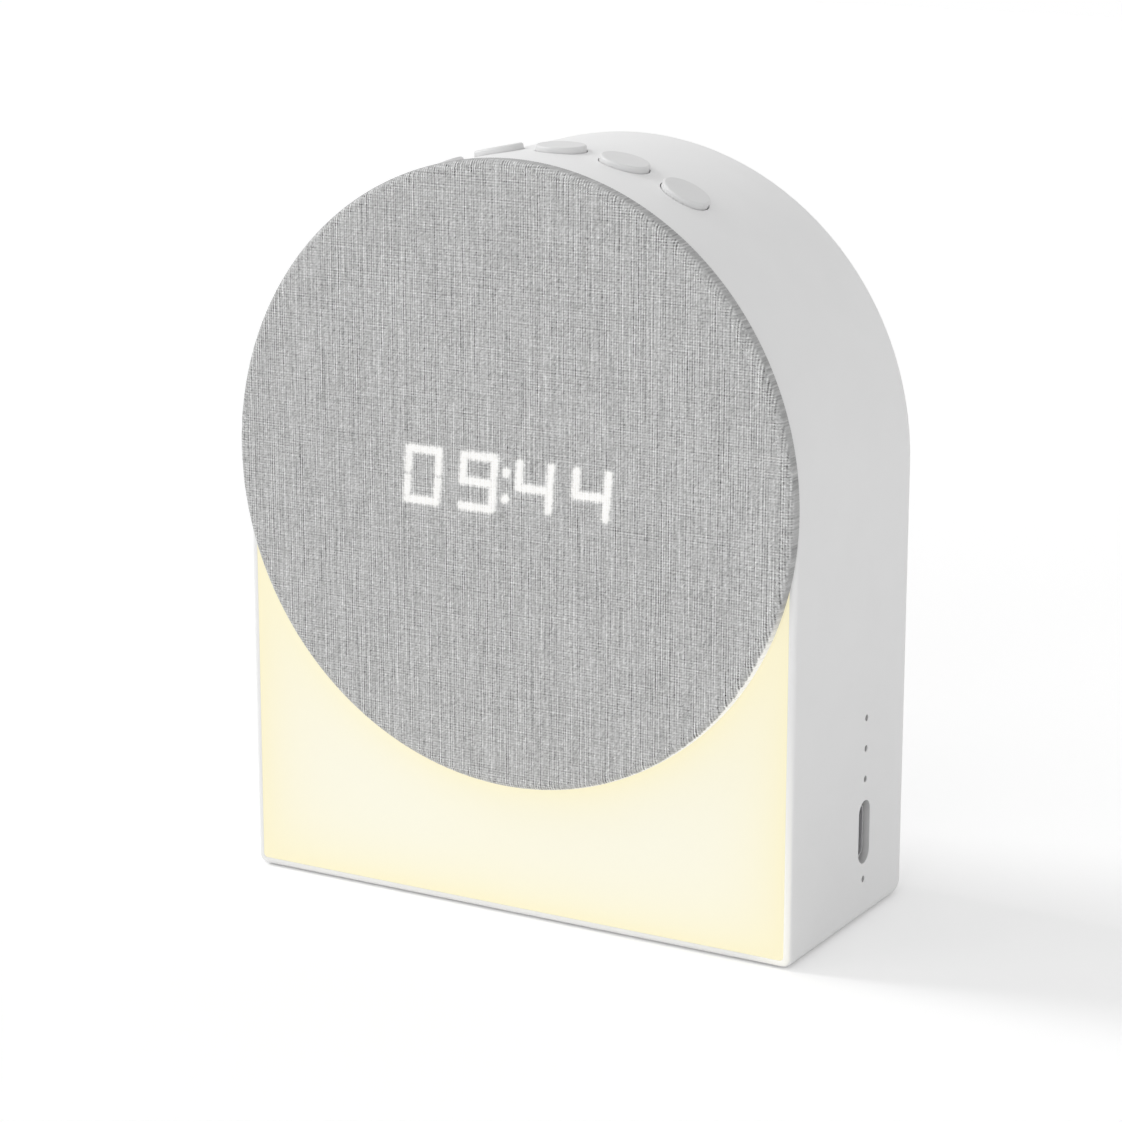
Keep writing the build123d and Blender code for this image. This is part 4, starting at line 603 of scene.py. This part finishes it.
# The ribs' tones: from the weave near the edge, from rib to rib, round each rib, from ring to ring, and
# painted shade over the whole band
EDGE_RADIUS = 49
EDGE_SHARE = 0.30
RIB_SCATTER = 0.05
RIB_CONTRAST = 0.03
RING_CONTRAST = 0.05
BAND_PAINTED_SHADE = 0.12

# The panel's light on the disc's side, painted on as a glow: between these turns from the top, in degrees,
# and at these shares of the side's depth
SPILL_FROM, SPILL_FULL = 104, 118
SPILL_ONSET = 0.24
SPILL_SCATTER = 0.03
SPILL_BEFORE, SPILL_AFTER = 0.06, 0.10


def streaks(rng, count, mix):
    """Random tones that drift along the rows of a square grid: a mix of drift lengths and strengths."""
    total = np.zeros((count, count))
    for length, strength in mix:
        steps = np.arange(-3 * length, 3 * length + 1)
        kernel = np.exp(-0.5 * (steps / length) ** 2)
        kernel *= strength / np.sqrt((kernel ** 2).sum())
        total += np.array([np.convolve(row, kernel, "same") for row in rng.normal(size=(count, count))])
    return total


def evened(field):
    """The rows with part of their neighbours' tone taken out, so that no wide bands form."""
    return field - EVENING / 2 * (np.roll(field, 1, 0) + np.roll(field, -1, 0))


def weave():
    """The plain weave on a grid of half threads over the whole disc: tone, height and wander."""
    rng = np.random.RandomState(WEAVE_SEED)
    count = 2 * int(2 * DISC_RADIUS / THREAD_PITCH + SPARE_THREADS) + 1
    upright = evened(streaks(rng, count, UPRIGHT_MIX))
    level = evened(streaks(rng, count, LEVEL_MIX)).T
    column, row = np.meshgrid(np.arange(count), np.arange(count), indexing="ij")
    crossing = (column % 2 == 0) & (row % 2 == 0)
    gap = (column % 2 == 1) & (row % 2 == 1)
    tone = upright + level + rng.normal(scale=CROSSING_SCATTER, size=upright.shape)
    # Painted shade between the threads and painted highlight on their middles
    tone += UPRIGHT_PAINTED_SHADE * np.where(column % 2, -1, 1) + LEVEL_PAINTED_SHADE * np.where(row % 2, -1, 1)
    height = THREAD_RISE * crossing - THREAD_SINK * gap
    height += THREAD_RISE * np.clip(RISE_BY_TONE * upright, -1, 1)
    wander_x = streaks(rng, count, WANDER_MIX)
    wander_z = streaks(rng, count, WANDER_MIX).T
    return {"tone": tone, "height": height, "wander_x": wander_x, "wander_z": wander_z}


def sampled(field, x, z):
    """The field's value at points of the disc, from its nearest grid point."""
    half = field.shape[0] // 2
    column = np.rint(x / (THREAD_PITCH / 2)).astype(int) + half
    row = np.rint((z - ARCH_CENTRE_Z) / (THREAD_PITCH / 2)).astype(int) + half
    return field[column, row]


def eased(value, start, end):
    """0 up to the start, 1 from the end, with a soft change between them."""
    part = np.clip((value - start) / (end - start), 0, 1)
    return part * part * (3 - 2 * part)


def relief_kept(radius):
    """The share of the weave's relief at a radius: none where the sheet goes under the band."""
    return eased(np.abs(radius - BAND_START), RELIEF_NONE, RELIEF_FULL)


def border_loop(quads):
    """The points round the border of a sheet of quads, walked as one loop."""
    edges = {}
    for a, b in ((0, 1), (1, 2), (2, 3), (3, 0)):
        edges.update(dict.fromkeys(zip(quads[:, a].tolist(), quads[:, b].tolist())))
    follow = {start: end for start, end in edges if (end, start) not in edges}
    first = min(follow)
    loop, at = [first], follow[first]
    while at != first:
        loop.append(at)
        at = follow[at]
    return loop


def cloth_sheet(fabric):
    """The flat front with its underside: points, faces and tones. Its border dips under the band."""
    half = int(SHEET_RADIUS / (THREAD_PITCH / 2)) + 1
    ticks = np.arange(-half, half + 1) * (THREAD_PITCH / 2)
    x, z = np.meshgrid(ticks, ticks + ARCH_CENTRE_Z, indexing="ij")
    inside = np.hypot(x, z - ARCH_CENTRE_Z) < SHEET_RADIUS
    whole = inside[:-1, :-1] & inside[1:, :-1] & inside[:-1, 1:] & inside[1:, 1:]
    used = np.zeros_like(inside)
    for shift_x in (0, 1):
        for shift_z in (0, 1):
            used[shift_x:shift_x + whole.shape[0], shift_z:shift_z + whole.shape[1]] |= whole
    index = np.full(x.shape, -1)
    index[used] = np.arange(used.sum())
    x, z = x[used], z[used]
    radius = np.hypot(x, z - ARCH_CENTRE_Z)
    height = sampled(fabric["height"], x, z) * relief_kept(radius)
    dip = JOIN_DIP * eased(radius, BAND_START, BAND_START + JOIN_DIP_WIDTH)
    points = np.stack([
        x + sampled(fabric["wander_x"], x, z),
        DISC_FRONT_Y + THREAD_RISE - height + dip,
        z + sampled(fabric["wander_z"], x, z),
    ], axis=1)
    quads = np.stack([
        index[:-1, :-1][whole], index[1:, :-1][whole], index[1:, 1:][whole], index[:-1, 1:][whole],
    ], axis=1)
    tones = sampled(fabric["tone"], x, z)

    loop = border_loop(quads)
    under = np.arange(len(loop)) + len(points)
    below = points[loop].copy()
    below[:, 1] = DISC_FRONT_Y + CLOTH_THICKNESS
    faces = quads.tolist()
    for step, (a, b) in enumerate(zip(loop, loop[1:] + loop[:1])):
        faces.append([b, a, under[step], under[(step + 1) % len(loop)]])
    faces.append(under[::-1].tolist())
    return np.concatenate([points, below]), faces, np.concatenate([tones, tones[loop]])


def band_profile():
    """Rings of the turned edge, from the front round to the hem and back: radius, y and share of rib."""
    centre = DISC_RADIUS - DISC_EDGE_RADIUS
    inside = BAND_START - BAND_TUCK
    rings = [(inside, DISC_FRONT_Y + JOIN_DIP, 0.0), (BAND_START, DISC_FRONT_Y + BAND_START_DIP, 0.0)]
    for radius in np.linspace(BAND_START + FLAT_START, centre, FLAT_RINGS):
        rings.append((radius, DISC_FRONT_Y, 0.0))
    for turn in np.radians(np.linspace(90 / TURN_RINGS, 90, TURN_RINGS)):
        radius = centre + DISC_EDGE_RADIUS * math.sin(turn)
        y = DISC_FRONT_Y + DISC_EDGE_RADIUS * (1 - math.cos(turn))
        rings.append((radius, y, float(eased(turn, math.radians(RIBS_FROM), math.radians(RIBS_FULL)))))
    for y in np.linspace(DISC_FRONT_Y + DISC_EDGE_RADIUS, HEM_Y, SIDE_RINGS + 1)[1:]:
        rings.append((DISC_RADIUS, y, 1.0))
    outside = len(rings)
    inner = DISC_RADIUS - CLOTH_THICKNESS
    rings += [
        (inner, HEM_Y, 1.0), (inner, DISC_FRONT_Y + DISC_EDGE_RADIUS, 1.0),
        (centre, DISC_FRONT_Y + CLOTH_THICKNESS, 0.0), (inside, DISC_FRONT_Y + CLOTH_THICKNESS, 0.0),
    ]
    return rings, outside


def cloth_band(fabric):
    """The cloth's turned edge: a closed ring whose threads run round the rounding as fine ribs."""
    rng = np.random.RandomState(RIB_SEED)
    rings, outside = band_profile()
    steps = RIB_COUNT * RIB_STEPS
    angle = np.arange(steps) * 2 * math.pi / steps
    across, upwards = np.sin(angle), np.cos(angle)
    rib = np.cos(angle * RIB_COUNT)
    own = np.roll(np.repeat(rng.normal(size=RIB_COUNT), RIB_STEPS), -RIB_STEPS // 2)
    edge = sampled(fabric["tone"], EDGE_RADIUS * across, ARCH_CENTRE_Z + EDGE_RADIUS * upwards)
    # Painted light: the panel's light on the side of the disc below its widest points is painted on as a
    # glow, from a slightly ragged line
    lit = eased(np.degrees(np.arccos(upwards)), SPILL_FROM, SPILL_FULL)
    onset = SPILL_ONSET + SPILL_SCATTER * np.clip(own, -2, 2)
    points, tones, painted_spills = [], [], []
    for number, (radius, y, share) in enumerate(rings):
        # The rings past the hem are the cloth's inside, with no relief, ribs or painted light
        bare = number >= outside
        x, z = radius * across, ARCH_CENTRE_Z + radius * upwards
        height = 0 * x if bare else sampled(fabric["height"], x, z) * (1 - share) * relief_kept(radius)
        grown = radius + (0 if bare else RIB_RISE * share * (rib - 1))
        points.append(np.stack([
            grown * across, y + (0 if bare else (1 - share) * THREAD_RISE) - height,
            ARCH_CENTRE_Z + grown * upwards,
        ], axis=1))
        # The whole band is darkened by painted shade
        ribbed = EDGE_SHARE * edge + RIB_SCATTER * own - BAND_PAINTED_SHADE
        ribbed += (RIB_CONTRAST + RING_CONTRAST * (-1) ** number) * rib
        tones.append((1 - share) * sampled(fabric["tone"], x, z) + share * ribbed)
        depth = (y - DISC_FRONT_Y) / (RIM_Y - DISC_FRONT_Y)
        painted_spill = eased(depth, onset - SPILL_BEFORE, onset + SPILL_AFTER)
        painted_spills.append(0 * x if bare else lit * painted_spill)
    faces = []
    follow = (np.arange(steps) + 1) % steps
    for number in range(len(rings)):
        here, after = number * steps, (number + 1) % len(rings) * steps
        corners = [here + np.arange(steps), after + np.arange(steps), after + follow, here + follow]
        faces += np.stack(corners, axis=1).tolist()
    return np.concatenate(points), faces, np.concatenate(tones), np.concatenate(painted_spills)


def make_cloth(material):
    fabric = weave()
    points, faces, tones = cloth_sheet(fabric)
    band_points, band_faces, band_tones, band_painted_spills = cloth_band(fabric)
    offset = len(points)
    faces += [[corner + offset for corner in face] for face in band_faces]
    every = np.concatenate([points, band_points])
    mesh = bpy.data.meshes.new("cloth_front")
    mesh.from_pydata((every * MM).tolist(), [], faces)
    figure = figure_distance(every[:, 0], every[:, 2])
    figure[offset:] = NO_FIGURE
    figure[every[:, 1] > DISC_FRONT_Y + CLOTH_THICKNESS / 2] = NO_FIGURE
    fields = {
        "tone": np.concatenate([tones, band_tones]),
        "figure": figure,
        "painted_spill": np.concatenate([np.zeros(offset), band_painted_spills]),
    }
    for name, values in fields.items():
        layer = mesh.attributes.new(name, "FLOAT", "POINT")
        layer.data.foreach_set("value", values.astype(np.float32))
    mesh.polygons.foreach_set("use_smooth", np.ones(len(mesh.polygons), dtype=bool))
    mesh.materials.append(material)
    mesh.update()
    cloth = bpy.data.objects.new("cloth_front", mesh)
    bpy.context.scene.collection.objects.link(cloth)
    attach(cloth, "clock")
    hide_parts("fabric_cover")


bpy.context.scene.view_settings.view_transform = "Standard"
make_camera()
make_air()
make_lamps()
make_floor()
finishes = make_materials()
dress_nodes(finishes)
make_cloth(finishes["woven_cloth"])
